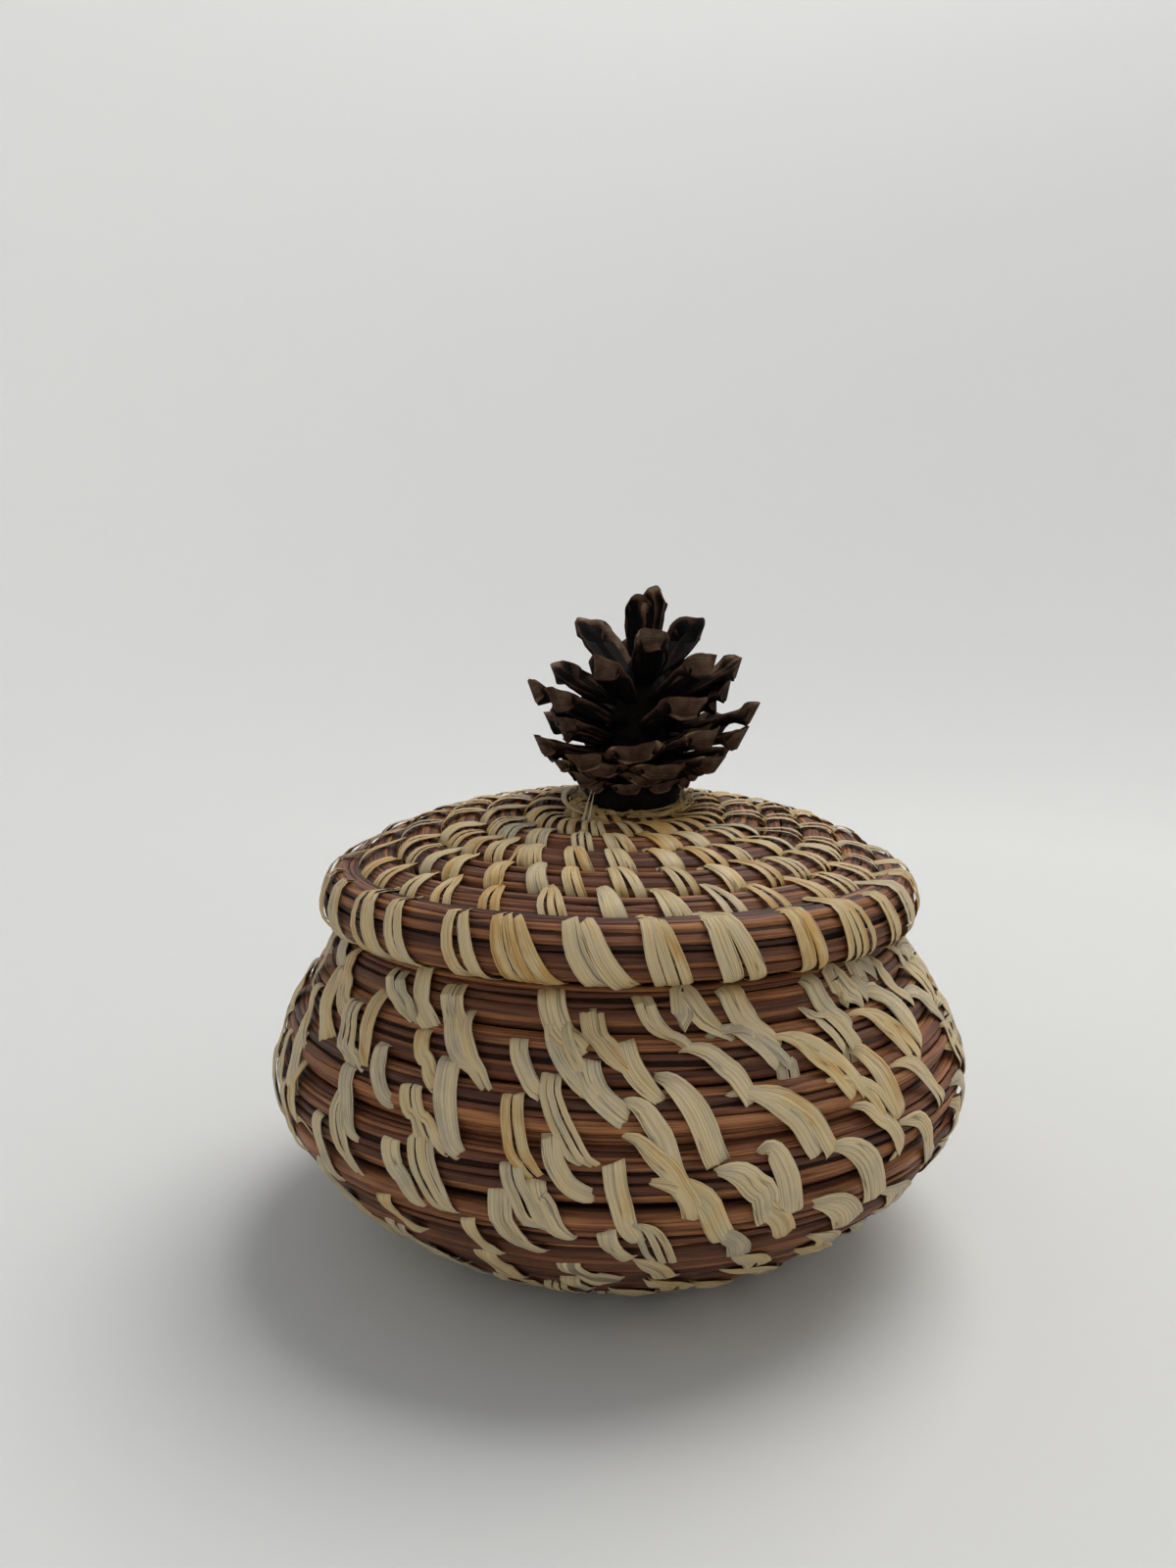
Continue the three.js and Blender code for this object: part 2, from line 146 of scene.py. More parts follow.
def newTree(name, values, **others):
    # a node tree with a geometry in, a geometry out, and inputs for its values and its material
    tree = bpy.data.node_groups.new(name, "GeometryNodeTree")
    kinds = {label: "Int" if isinstance(value, int) else "Float" for label, value in values.items()}
    for label, kind in {"Geometry": "Geometry", **kinds, **others, "Material": "Material"}.items():
        tree.interface.new_socket(label, in_out="INPUT", socket_type="NodeSocket" + kind)
    tree.interface.new_socket("Geometry", in_out="OUTPUT", socket_type="NodeSocketGeometry")
    add = partial(addNode, tree)
    return tree, add, add("NodeGroupInput").outputs


def finishTree(tree, add, given, made):
    # smooth, apart from edges sharper than the crease, if the tree has one, and with its material
    made = add("SetShadeSmooth", (made,))
    if "Crease" in given:
        angle = add("InputMeshEdgeAngle")
        sharp = add("Math", (angle, given["Crease"]), "GREATER_THAN")
        made = add("SetShadeSmooth", {"Geometry": made, "Selection": sharp, "Shade Smooth": False},
                   domain="EDGE")
    made = add("RealizeInstances", (made,))
    made = add("SetMaterial", {"Geometry": made, "Material": given["Material"]})
    add("NodeGroupOutput", (made,))
    return tree


def runTree(made, tree, values):
    # sets the tree's inputs, then turns what it gives into the object's own plain mesh
    modifier = made.modifiers.new(tree.name, "NODES")
    modifier.node_group = tree
    for item in tree.interface.items_tree:
        if item.in_out == "INPUT" and item.name in values:
            modifier[item.identifier] = values[item.name]
    graph = bpy.context.evaluated_depsgraph_get()
    mesh = bpy.data.meshes.new_from_object(
        made.evaluated_get(graph), preserve_all_data_layers=True, depsgraph=graph)
    made.modifiers.clear()
    made.data = mesh


def finishPiece(made, body, slot, *nodes):
    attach(made, body)
    if nodes:
        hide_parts(*nodes)
    made.data.name = made.name


# Materials

def newMaterial(name, *attributes):
    # a new material, what adds its nodes, and the attributes that it reads from the mesh
    material = bpy.data.materials.new(name)
    material.use_nodes = True
    add = partial(addNode, material.node_tree)
    return material, add, *(add("Attribute", attribute_name=label).outputs["Fac"] for label in attributes)


def finishMaterial(material, inputs):
    fillInputs(material.node_tree, material.node_tree.nodes["Principled BSDF"], inputs)
    return material


def needleMaterial():
    # Dried longleaf pine needles: smooth and waxy, red-brown, each of its own shade, with fine lines along it
    material, add, tone, along, around = newMaterial("driedPineNeedle", "tone", "along", "around")
    where = add("CombineXYZ", (along, around, tone))
    # lines about 0.3 mm apart round a needle and 20 mm long, shades about 9 mm long
    grain = add("VectorMath", (where, (1 / (20 * mm), 16, 40)), "MULTIPLY")
    lines = add("TexNoise", {"Vector": grain, "Scale": 1, "Detail": 3})
    patch = add("VectorMath", (where, (1 / (9 * mm), 2, 90)), "MULTIPLY")
    shades = add("TexNoise", {"Vector": patch, "Scale": 1, "Detail": 4})
    uneven = add("MapRange", (shades, 0.3, 0.7, 0.72, 1.28))
    fine = add("MapRange", (lines, 0.35, 0.6, 0.55, 1.1))
    shade = add("Math", (tone, uneven), "MULTIPLY")
    shade = add("Math", (shade, fine), "MULTIPLY")
    ramp = add("ValToRGB", (shade,))
    # the near black lowest stop colours the bundle's core: painted shade between the needles and the rows
    fillRamp(ramp, {0.0: "#100806", 0.25: "#3D2114", 0.6: "#724328", 1.0: "#A16C3F"})
    # the needles inside a bundle have tone 0.1, which the ramp's lowest stop paints near black as painted
    # shade in the gaps between needles and rows, and no gloss
    worn = add("MapRange", (lines, 0, 1, 0.6, 0.4))
    inside = add("Math", (tone, 0.15), "LESS_THAN")
    gloss = add("Math", (worn, inside), "MAXIMUM")
    bump = add("Bump", {"Height": lines, "Strength": 0.6, "Distance": 0.15 * mm})
    return finishMaterial(material, {"Base Color": ramp, "Roughness": gloss, "Normal": bump, "IOR": 1.47,
                                     "Specular IOR Level": 0.3})


def raffiaMaterial():
    # Split raffia palm leaf: pale tan and straw-gold strips, dry satin, with fibres and slits along them
    material, add, tone, along, across = newMaterial("naturalRaffia", "tone", "along", "across")
    where = add("CombineXYZ", (along, across, tone))
    # fibres about 0.2 mm apart, stains about 5 mm long, slits 0.1 mm wide and 10 mm long
    grain = add("VectorMath", (where, (1 / (14 * mm), 9, 70)), "MULTIPLY")
    fibres = add("TexNoise", {"Vector": grain, "Scale": 1, "Detail": 4, "Roughness": 0.6})
    patch = add("VectorMath", (where, (1 / (5 * mm), 0.8, 30)), "MULTIPLY")
    stains = add("TexNoise", {"Vector": patch, "Scale": 1, "Detail": 3})
    split = add("VectorMath", (where, (1 / (22 * mm), 2.4, 55)), "MULTIPLY")
    ridges = add("TexNoise", {"Vector": split, "Scale": 1, "Detail": 0})
    spread = add("MapRange", (stains, 0.3, 0.7, -0.28, 0.28))
    shade = add("Math", (tone, spread), "ADD")
    ramp = add("ValToRGB", (shade,))
    fillRamp(ramp, {0.0: "#AA9D82", 0.35: "#C2B08A", 0.7: "#C7AD7B", 1.0: "#B98F4A"})
    streak = add("MapRange", (fibres, 0.32, 0.58, 0.62, 1.06))
    nearSlit = add("Math", (ridges, 0.5), "SUBTRACT")
    fromSlit = add("Math", (nearSlit,), "ABSOLUTE")
    slit = add("MapRange", (fromSlit, 0, 0.03, 0.4, 1))
    dark = add("Math", (streak, slit), "MULTIPLY")
    colour = add("Mix", {0: 1, 6: ramp, 7: dark}, data_type="RGBA", blend_type="MULTIPLY")
    relief = add("Math", (fibres, slit), "ADD")
    bump = add("Bump", {"Height": relief, "Strength": 0.55, "Distance": 0.15 * mm})
    return finishMaterial(material, {"Base Color": colour.outputs[2], "Roughness": 0.55, "Normal": bump,
                                     "IOR": 1.5})


def coneMaterial():
    # Weathered pine cone: woody scales of a dark wood, painted near black for the shade deep in the cone,
    # red-brown ridges with a painted highlight, and grey-brown wrinkled thick ends
    material, add, tip, level = newMaterial("weatheredPineCone", "tip", "level")
    place = add("TexCoord").outputs["Object"]
    # blotches about 2.5 mm, wrinkles about 0.5 mm, and layers across the thick ends
    blotch = add("TexNoise", {"Vector": place, "Scale": 1 / (2.5 * mm), "Detail": 4})
    wrinkle = add("TexNoise", {"Vector": place, "Scale": 1 / (0.5 * mm), "Detail": 3})
    depth = add("Math", (level, 6.0), "MULTIPLY")
    layers = add("TexNoise", {"Vector": place, "W": depth, "Scale": 1 / (9 * mm), "Detail": 2},
                 noise_dimensions="4D")
    worn = add("MapRange", (blotch, 0.3, 0.7, -0.16, 0.16))
    lined = add("MapRange", (layers, 0.38, 0.58, -0.5, 0.06))
    edge = add("Math", (tip, worn), "ADD")
    edge = add("Math", (edge, lined), "ADD")
    ramp = add("ValToRGB", (edge,))
    # the lowest stops, near black, are the dark wood with painted shade over it, where the blades face into
    # the cone
    fillRamp(ramp, {0.0: "#080605", 0.35: "#140C09", 0.55: "#40261C", 0.82: "#5E4838", 1.0: "#826E59"})
    relief = add("Math", (wrinkle, layers), "ADD")
    bump = add("Bump", {"Height": relief, "Strength": 0.8, "Distance": 0.3 * mm})
    return finishMaterial(material, {"Base Color": ramp, "Roughness": 0.85, "Normal": bump,
                                     "Specular IOR Level": 0.1})


needleFinish = needleMaterial()
raffiaFinish = raffiaMaterial()
coneFinish = coneMaterial()
print("materials made")


# Coils: the same paths as the solids, in metres

bodyShape = {
    "footRadius": 29.5 * mm,
    "footLead": 5 * mm,
    "bellyRadius": 55.3 * mm,
    "bellyHeight": 28.5 * mm,
    "swellBelow": 10.5 * mm,
    "swellAbove": 6.5 * mm,
    "mouthRadius": 45.3 * mm,
    "mouthHeight": 48.6 * mm,
    "shoulderReach": 4.7 * mm,
    "shoulderDrop": 6.4 * mm,
    "halfThickness": 3.1 * mm,
    "rows": 13,
    "firstLevelRow": 5,
    "baseLift": 0.5 * mm,  # the base's stitches lie under it and still stay above the table
}
lidShape = {
    "radius": 46 * mm,
    "rise": 12.4 * mm,
    "flat": 21 * mm,
    "edgeInset": 2.2 * mm,
    "edgeRise": 7 * mm,
    "halfThickness": 3.2 * mm,
    "rimHalf": 3.9 * mm,
    "rows": 7,
    "firstLevelRow": 1,
    "sag": 3.0 * mm,  # the front of the dome is pulled down
    "sagFrom": 10 * mm,  # from this far behind the middle
    "sagTo": 12 * mm,  # to this far in front of it, where it is deepest
    "sagEnd": 6.5 * mm,  # fading out over this much next to the rim
}
lipShape = {"halfThickness": 2.5 * mm, "rows": 1, "firstLevelRow": -1}
coilRule = {
    "rowGap": 0.9 * mm,
    "taperEnd": 0.2,
    "startTurns": 0.2,
    "startGap": 0.4 * mm,
    "climbFrom": 0.3,  # a row climbs to the next between these shares of its turn
    "climbTo": 0.7,
}


def bezier(*corners, steps=160):
    t = np.linspace(0, 1, steps)[:, None]
    a, b, c, d = np.array(corners, float)
    return a * (1 - t) ** 3 + 3 * b * t * (1 - t) ** 2 + 3 * c * t ** 2 * (1 - t) + d * t ** 3


def lidSag(x, y):
    fromRim = lidShape["radius"] - np.hypot(x, y)
    return lidShape["sag"] * smoothstep(-y, -lidShape["sagFrom"], lidShape["sagTo"]) * smoothstep(
        fromRim, 0, lidShape["sagEnd"])


def makeCoil(points, side, shape, lift=0, lower=None):
    steps = np.linalg.norm(np.diff(points, axis=0), axis=1)
    along = np.concatenate([[0], np.cumsum(steps)])
    length, rows, rim, gap = along[-1], shape["rows"], shape.get("rimHalf"), coilRule["rowGap"]
    pitch = (length - rim - gap / 2) / (rows - 0.5) if rim else length / rows
    halfWidth = (pitch - gap) / 2
    return SimpleNamespace(
        **shape, points=points, along=along, length=length, side=side, pitch=pitch, lift=lift, lower=lower,
        halfWidth=halfWidth, lastHalfWidth=rim or halfWidth, lastHalfThickness=rim or shape["halfThickness"])


def coilAt(coil, turns):
    # the bundle's middle, its two directions and its half sizes after so many turns
    turns = np.asarray(turns, float)
    row = np.floor(turns)
    share = turns - row
    climbed = smoothstep(share, coilRule["climbFrom"], coilRule["climbTo"])
    onLast = row >= coil.rows
    levelling = max(1, coil.rows - 1 - coil.firstLevelRow)
    levelled = np.clip((turns - coil.firstLevelRow) / levelling, 0, 1)
    swelling = np.where(onLast, 1, np.where(row == coil.rows - 1, climbed, 0))
    lastPitch = 2 * coil.lastHalfWidth + coilRule["rowGap"]
    thinning = np.where(onLast, climbed * lastPitch / (2 * coil.lastHalfWidth), 0)
    tail = np.maximum(coilRule["taperEnd"], 1 - thinning)
    wider = coil.lastHalfWidth - coil.halfWidth
    thicker = coil.lastHalfThickness - coil.halfThickness
    halfWidth = (coil.halfWidth + wider * swelling) * tail
    halfThickness = (coil.halfThickness + thicker * swelling) * np.sqrt(tail)
    level = turns + levelled * (climbed - share)
    onTop = coil.length + (1 - tail) * coil.lastHalfWidth
    distance = np.where(onLast, onTop, coil.pitch * level + wider * swelling)
    inside = np.clip(distance, 0, coil.length)
    slopes = np.gradient(coil.points, coil.along, axis=0)
    radius, height = (np.interp(inside, coil.along, coil.points[:, i]) for i in (0, 1))
    outward, upward = (np.interp(inside, coil.along, slopes[:, i]) for i in (0, 1))
    size = np.hypot(outward, upward)
    outward, upward = outward / size, upward / size
    radius = radius + outward * (distance - inside)
    height = height + upward * (distance - inside) + coil.lift
    if hasattr(coil, "baseLift"):
        least = halfThickness * outward + halfWidth / 2 * np.abs(upward)
        height = np.maximum(height, least) + coil.baseLift * np.maximum(outward, 0)
    angle = front + fullTurn * turns
    flat = np.stack([np.cos(angle), np.sin(angle)], -1)
    if coil.lower:
        height = height - coil.lower(radius * flat[..., 0], radius * flat[..., 1])

    def inSpace(r, z):
        return np.concatenate([flat * np.asarray(r)[..., None], np.asarray(z)[..., None]], -1)

    pressed = halfWidth + coilRule["rowGap"] / 2 * tail  # real rows are pressed against each other
    room = np.clip(radius - coilRule["startGap"], 0.3 * mm, None)
    return SimpleNamespace(
        centre=inSpace(radius, height), toNext=inSpace(outward, upward),
        out=inSpace(coil.side * upward, -coil.side * outward), radius=radius,
        halfWidth=np.minimum(pressed, room), halfThickness=halfThickness, tail=tail)


def bodyProfile():
    s = bodyShape
    foot = (s["footRadius"], s["halfThickness"])
    belly = (s["bellyRadius"], s["bellyHeight"])
    mouth = (s["mouthRadius"], s["mouthHeight"])
    base = np.linspace((0, s["halfThickness"]), foot, 60)
    flare = bezier(foot, (foot[0] + s["footLead"], foot[1]), (belly[0], belly[1] - s["swellBelow"]), belly)
    shoulder = bezier(belly, (belly[0], belly[1] + s["swellAbove"]),
                      (mouth[0] + s["shoulderReach"], mouth[1] - s["shoulderDrop"]), mouth)
    return np.concatenate([base, flare[1:], shoulder[1:]])


def lidProfile():
    s = lidShape
    return bezier((0, s["rise"]), (s["flat"], s["rise"]), (s["radius"] - s["edgeInset"], s["edgeRise"]),
                  (s["radius"], 0))


bodyCoil = makeCoil(bodyProfile(), 1, bodyShape)
_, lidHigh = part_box("lid_coil")
rimHeight = lidHigh.z - lidShape["rise"] - lidShape["halfThickness"]
lidCoil = makeCoil(lidProfile(), -1, lidShape, rimHeight, lidSag)
lipLow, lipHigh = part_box("lid_lip_coil")
lipHalf = lipShape["halfThickness"]
lipRadius = lipHigh.x - lipHalf
lipLine = np.linspace((lipRadius, lipHigh.z - lipHalf), (lipRadius, lipLow.z + lipHalf), num=20)
lipCoil = makeCoil(lipLine, -1, lipShape)
print("coils laid, rim height %.1f mm" % (rimHeight / mm))


# Needles: many thin flat tubes that follow a coil, each a little loose in its bundle

needles = {
    "Needles": 16,
    "Needle Width": 1.6 * mm,
    "Needle Length": 230 * mm,
    "Flatness": 0.6,  # a needle's thickness as a share of its width
    "Wander": 0.15,  # how far a needle strays round the bundle, in radians
    "Loose": 0.06,  # and in and out of it, as a share of the bundle's half thickness
    "Fullness": 0.75,  # 1 is an oval bundle, less is a squarer one
    "Core Share": 0.88,
    "Seed": 3,
}
lidNeedles = {"Needles": 36, "Needle Width": 1.2 * mm}
lipNeedles = {"Needles": 14, "Needle Width": 1.3 * mm}
needleStep = 4.6 * mm


def makeNeedleTree():
    tree, add, given = newTree("needleBundle", needles)
    path = add("MeshToCurve", (given["Geometry"],))
    copies = add("DuplicateElements", {"Geometry": path, "Amount": given["Needles"]}, domain="SPLINE")
    number = copies.outputs["Duplicate Index"]
    length = add("SplineParameter").outputs["Length"]

    # each tube is a line of needles, end to end, and each needle has its own tone, width and pointed ends
    lane = add("Math", (number, given["Seed"]), "ADD")
    begin = add("TexWhiteNoise", {"W": lane}, noise_dimensions="1D")
    spans = add("Math", (length, given["Needle Length"]), "DIVIDE")
    laid = add("Math", (begin, 7.0, spans), "MULTIPLY_ADD")
    within = add("Math", (laid,), "FRACT")
    order = add("Math", (laid,), "FLOOR")
    which = add("CombineXYZ", (number, order, given["Seed"]))
    chance = add("TexWhiteNoise", {"Vector": which})
    tone = add("Math", (chance, 0.72, 0.24), "MULTIPLY_ADD")
    other = add("FunctionNodeSeparateColor", (chance.outputs["Color"],)).outputs["Blue"]
    broad = add("Math", (other, 0.8, 0.58), "MULTIPLY_ADD")
    opening = add("MapRange", (within, 0, 0.03, 0.2, 1), interpolation_type="SMOOTHSTEP")
    closing = add("MapRange", (within, 0.96, 1, 1, 0.2), interpolation_type="SMOOTHSTEP")
    pointed = add("Math", (opening, closing), "MINIMUM")

    # place round the bundle, with slow drifts about 45 and 32 mm long
    sways = []
    for span, apart, begin in ((45 * mm, 5.71, 0.37), (32 * mm, 9.13, 8.21)):
        wave = add("Math", (length, span), "DIVIDE")
        where = add("CombineXYZ", (wave, number, begin))
        spread = add("VectorMath", (where, (1, apart, 1)), "MULTIPLY")
        drift = add("TexNoise", {"Vector": spread, "Scale": 1, "Detail": 1})
        sways.append(add("MapRange", (drift, 0, 1, -1, 1)))
    share = add("Math", (number, given["Needles"]), "DIVIDE")
    evenly = add("Math", (share, fullTurn), "MULTIPLY")
    turn = add("Math", (sways[0], given["Wander"], evenly), "MULTIPLY_ADD")
    depth = add("Math", (sways[1], given["Loose"], 1.0), "MULTIPLY_ADD")
    cosine = add("Math", (turn,), "COSINE")
    sine = add("Math", (turn,), "SINE")
    wheel = add("CombineXYZ", (cosine, sine))
    # a bundle pressed between its neighbours is fuller than an oval
    sizes = add("VectorMath", (wheel,), "ABSOLUTE")
    powers = add("CombineXYZ", (given["Fullness"], given["Fullness"], 1.0))
    fuller = add("VectorMath", (sizes, powers), "POWER")
    signs = add("VectorMath", (wheel,), "SIGN")
    signed = add("VectorMath", (fuller, signs), "MULTIPLY")
    loose = add("VectorMath", {0: signed, "Scale": depth.outputs[0]}, "SCALE")
    parts = add("SeparateXYZ", (loose,))
    outward, rowward = (add("InputNamedAttribute", (name,), data_type="FLOAT_VECTOR")
                        for name in ("outward", "rowward"))
    outPart = add("VectorMath", {0: outward, "Scale": parts.outputs["X"]}, "SCALE")
    rowPart = add("VectorMath", {0: rowward, "Scale": parts.outputs["Y"]}, "SCALE")
    offset = add("VectorMath", (outPart, rowPart), "ADD")
    lines = add("SetCurveNormal", {"Curve": copies, "Normal": offset}, mode="FREE")
    lines = add("SetPosition", {"Geometry": lines, "Offset": offset})
    for label, value in (("tone", tone), ("along", length)):
        lines = add("StoreNamedAttribute", {"Geometry": lines, "Name": label, "Value": value})

    # a needle's section
    half = add("Math", (given["Needle Width"], 0.5), "MULTIPLY")
    ring = add("CurvePrimitiveCircle", {"Resolution": 6, "Radius": half})
    corner = add("InputIndex")
    around = add("Math", (corner, 6.0), "DIVIDE")
    ring = add("StoreNamedAttribute", {"Geometry": ring, "Name": "around", "Value": around})
    press = add("CombineXYZ", (given["Flatness"], 1.0, 1.0))
    ring = add("Transform", {"Geometry": ring, "Scale": press})
    slim, girth = (add("InputNamedAttribute", (name,)) for name in ("slim", "girth"))
    size = add("Math", (pointed, broad), "MULTIPLY")
    size = add("Math", (size, slim), "MULTIPLY")
    tubes = add("CurveToMesh", {"Curve": lines, "Profile Curve": ring, "Scale": size, "Fill Caps": True})

    # the needles in the middle of the bundle, seen only between the others, with tone 0.1: painted shade that
    # darkens the gaps between needles and rows
    heart = add("CurvePrimitiveCircle", {"Resolution": 10, "Radius": 1})
    heart = add("StoreNamedAttribute", {"Geometry": heart, "Name": "around", "Value": corner})
    thick = add("Math", (girth, given["Core Share"]), "MULTIPLY")
    core = add("CurveToMesh", {"Curve": path, "Profile Curve": heart, "Scale": thick, "Fill Caps": True})
    core = add("StoreNamedAttribute", {"Geometry": core, "Name": "tone", "Value": 0.1})
    both = add("JoinGeometry", ([core, tubes],))
    return finishTree(tree, add, given, both)


needleTree = makeNeedleTree()


def coilTurns(coil, start):
    # turns at even steps along the coil, from its start to the end of its thin tail
    turns = [start]
    last = coil.rows + coilRule["climbTo"]
    while turns[-1] < last and coilAt(coil, turns[-1]).tail > coilRule["taperEnd"]:
        reach = max(float(coilAt(coil, turns[-1]).radius), 8 * mm)
        turns.append(turns[-1] + needleStep / (fullTurn * reach))
    return np.array(turns)


def layNeedles(name, coil, body, node, start, own):
    values = {**needles, **own, "Material": needleFinish}
    place = coilAt(coil, coilTurns(coil, start))
    half = values["Needle Width"] / 2 * values["Flatness"]
    girth = np.minimum(place.halfThickness, place.halfWidth)
    slim = np.clip(girth / coil.halfThickness, 0.35, 1)
    outward = place.out * np.maximum(place.halfThickness - half * slim, 0.1 * mm)[:, None]
    rowward = place.toNext * np.maximum(place.halfWidth - half * slim, 0.1 * mm)[:, None]
    made = guideObject(name, [place.centre], {
        "outward": [outward], "rowward": [rowward], "slim": [slim], "girth": [girth]})
    runTree(made, needleTree, values)
    finishPiece(made, body, "pine_needles", node)
    print(name, len(made.data.polygons), "faces")


layNeedles("bodyNeedles", bodyCoil, "basket", "body_coil", coilRule["startTurns"], {})
layNeedles("lidNeedles", lidCoil, "lid", "lid_coil", coilRule["startTurns"], lidNeedles)
layNeedles("lipNeedles", lipCoil, "lid", "lid_lip_coil", -coilRule["climbFrom"], lipNeedles)


# Raffia: each stitch is one or a few split strips that go over a row and into the row before it

wallStitches = {
    "perRow": 23,  # groups of stitches
    "inGroup": (1, 2, 2, 3),  # stitches of a group, each further along and higher than the one before it
    "step": 4.6 * mm,  # along the row, from one stitch of a group to the next
    "rise": 0.38,  # of a row, from one stitch of a group to the next
    "width": 3.5 * mm,  # of a whole stitch, along the row
    "lean": 4.6 * mm,  # how far its lower end is along the row from its upper end
    "strips": (1, 1, 1, 2, 2, 3),
    "golden": 0.46,
    "lift": 1.0,
    # degrees from the front to the first group on its right, by row
    "front": {8: 5, 9: 11, 10: 15, 11: 2, 12: 13, 13: 3},
}
lidStitches = {
    "perRow": 32,
    "inGroup": (1,),
    "step": 0,
    "rise": 0,
    "width": 3.3 * mm,
    "lean": 3.6 * mm,
    "strips": (1, 2, 2, 2, 3),
    "golden": 0.64,
    "lift": 1.0,
    "front": {3: 15, 4: 11, 5: 12, 6: 8, 7: 6},
}
rimStitches = {"width": 5 * mm, "lean": 5.4 * mm, "strips": (2, 3, 3, 4)}
lowStitches = {**wallStitches, "perRow": 26, "inGroup": (1,)}
baseStitches = {**wallStitches, "inGroup": (1,), "lift": 0.55, "front": {}}
lipStitches = {**baseStitches, "perRow": 24, "width": 3.6 * mm, "lean": 3 * mm, "strips": (1, 2), "lift": 0.7}
ribbon = {"Thickness": 0.09, "Crown": 0.14, "Crease": math.radians(38)}
# How hand work varies, least and most
stitchVaries = {
    "place": (-0.15, 0.15),  # along the row, as a share of the spacing
    "wallLean": (0.6, 1.5),
    "lidLean": (0.75, 1.25),
    "width": (0.75, 1.25),
    "start": (24, 52),  # degrees round the row before, where a stitch of the lid comes out
    "rimStart": (4, 34),
    "top": (0.05, 0.3),  # rows above the middle of its own, where a stitch of the wall comes out
    "down": (0.8, 1.4),  # rows that it goes down from there
}
stripVaries = {
    "bow": (-0.25, 0.5),
    "slant": (-0.06, 0.06),
    "lift": (-0.04, 0.06),
    "wrap": (-3, 3),
    "width": (0.95, 1.2),
    "facing": (-0.14, 0.14),
    "tone": (-0.15, 0.15),
}
endWidths = (0.35, 0.6, 0.85)
foldedWidth = 1.15  # shares of a stitch's width
innerWidth = 0.75
toneSpread = 0.16
leastReach = 6 * mm  # from the axis, for measures along a row
leastTail = 0.45  # no stitches on the coil where it is thinner than this share
stripSteps = 18
stitchSeed = 11


# Points of a stitch: row from its own, degrees round the bundle, lift off it in mm, share of the lean,
# share of the width and share of the spread of its strips
def wallPath(top, down, point, folded):
    # out of the needles, over the grooves and in again, between places counted in rows from its own row
    lifts = np.array([-1.5, -0.1, 0.38, 0.45, 0.45, 0.45, 0.4, -0.1, -1.5])
    if folded:
        # runs along the row as a thin tip, then bends down and ends broad
        drop = np.array([0, 0, 0.03, 0.14, 0.36, 0.6, 0.85, 1, 1.12])
        along = (-0.9, -0.62, -0.3, 0.08, 0.42, 0.66, 0.86, 1, 1.06)
        widths = (0.15, 0.3, 0.6, 0.9, 1, 1, 1, 1, 1)
    else:
        # begins broad and straight, sweeps aside and ends at the share point of its width
        drop = np.array([-0.16, -0.04, 0.08, 0.28, 0.48, 0.68, 0.86, 1, 1.1])
        along = (0, 0, 0.02, 0.1, 0.25, 0.46, 0.74, 1, 1.2)
        widths = (1, 1, 1, 1, 1, 0.95, (1 + point) / 2, point, point * 0.7)
    row, wrap = besideRow(top - down * drop)
    # pulled tight, it bridges the grooves
    reach = np.cos(np.radians(wrap)) ** needles["Fullness"]
    thick = bodyShape["halfThickness"] / mm
    tight = (0.9 * thick + 0.45) / reach - thick
    lifts = np.where(lifts > 0.3, np.maximum(lifts, tight), lifts)
    return list(zip(row, wrap, lifts, along, widths, widths))


def besideRow(place):
    # the row at a place counted in rows, and the degrees round its bundle, kept out of the grooves
    row = np.floor(place + 0.5)
    share = np.abs(2 * (place - row)) ** (1 / needles["Fullness"])
    return row, np.clip(np.degrees(np.arcsin(np.minimum(share, 1))), 0, 38) * np.sign(place - row)


def lidPath(end, point):
    # out of the row before, over the row and into the groove outside it, fanning out on the way
    return [
        (-1, end - 14, -1.6, -0.05, 0.3, 0.15), (-1, end, -0.3, 0, 0.42, 0.22),
        (-1, end + 12, 0.36, 0.09, 0.58, 0.38), (0, -38, 0.6, 0.3, 0.82, 0.7),
        (0, 5, 0.66, 0.54, 1, 1), (0, 48, 0.55, 0.8, 1, 1.1), (0, 82, 0.2, 0.96, 0.95, 1.15),
        (0, 112, -0.6, 1.04, (1 + point) / 2, 1.1),
    ]


def innerPath():
    # up the inside, from where one stitch went in to where the next comes out
    return [
        (-1, 176, -1.3, 0, 0.6, 0.6), (-1, 160, 0.2, 0.08, 0.8, 0.75),
        (-1, 138, 0.4, 0.18, 0.9, 0.9), (0, -146, 0.42, 0.4, 1, 1),
        (0, 180, 0.4, 0.6, 1, 1), (0, 132, 0.35, 0.84, 0.9, 0.8),
        (0, 104, -0.4, 1, 0.5, 0.5),
    ]


def lipPath(end, point):
    # round the bundle
    return [(0, a, 0.4, (a + 160) / 320, 1, 1) for a in range(-160, 161, 40)]


def overEdge(points, begin=False):
    # on the last row the strips stay in sight over its free edge
    if begin:
        points = [(0, 125, 0.4, -0.4, 0.9, 0.9), (0, 88, 0.42, -0.2, 0.9, 0.9)] + points[2:]
    return [(row, wrap, max(lift, 0.35) if row == 0 and abs(wrap) > 60 else lift, *rest)
            for row, wrap, lift, *rest in points]


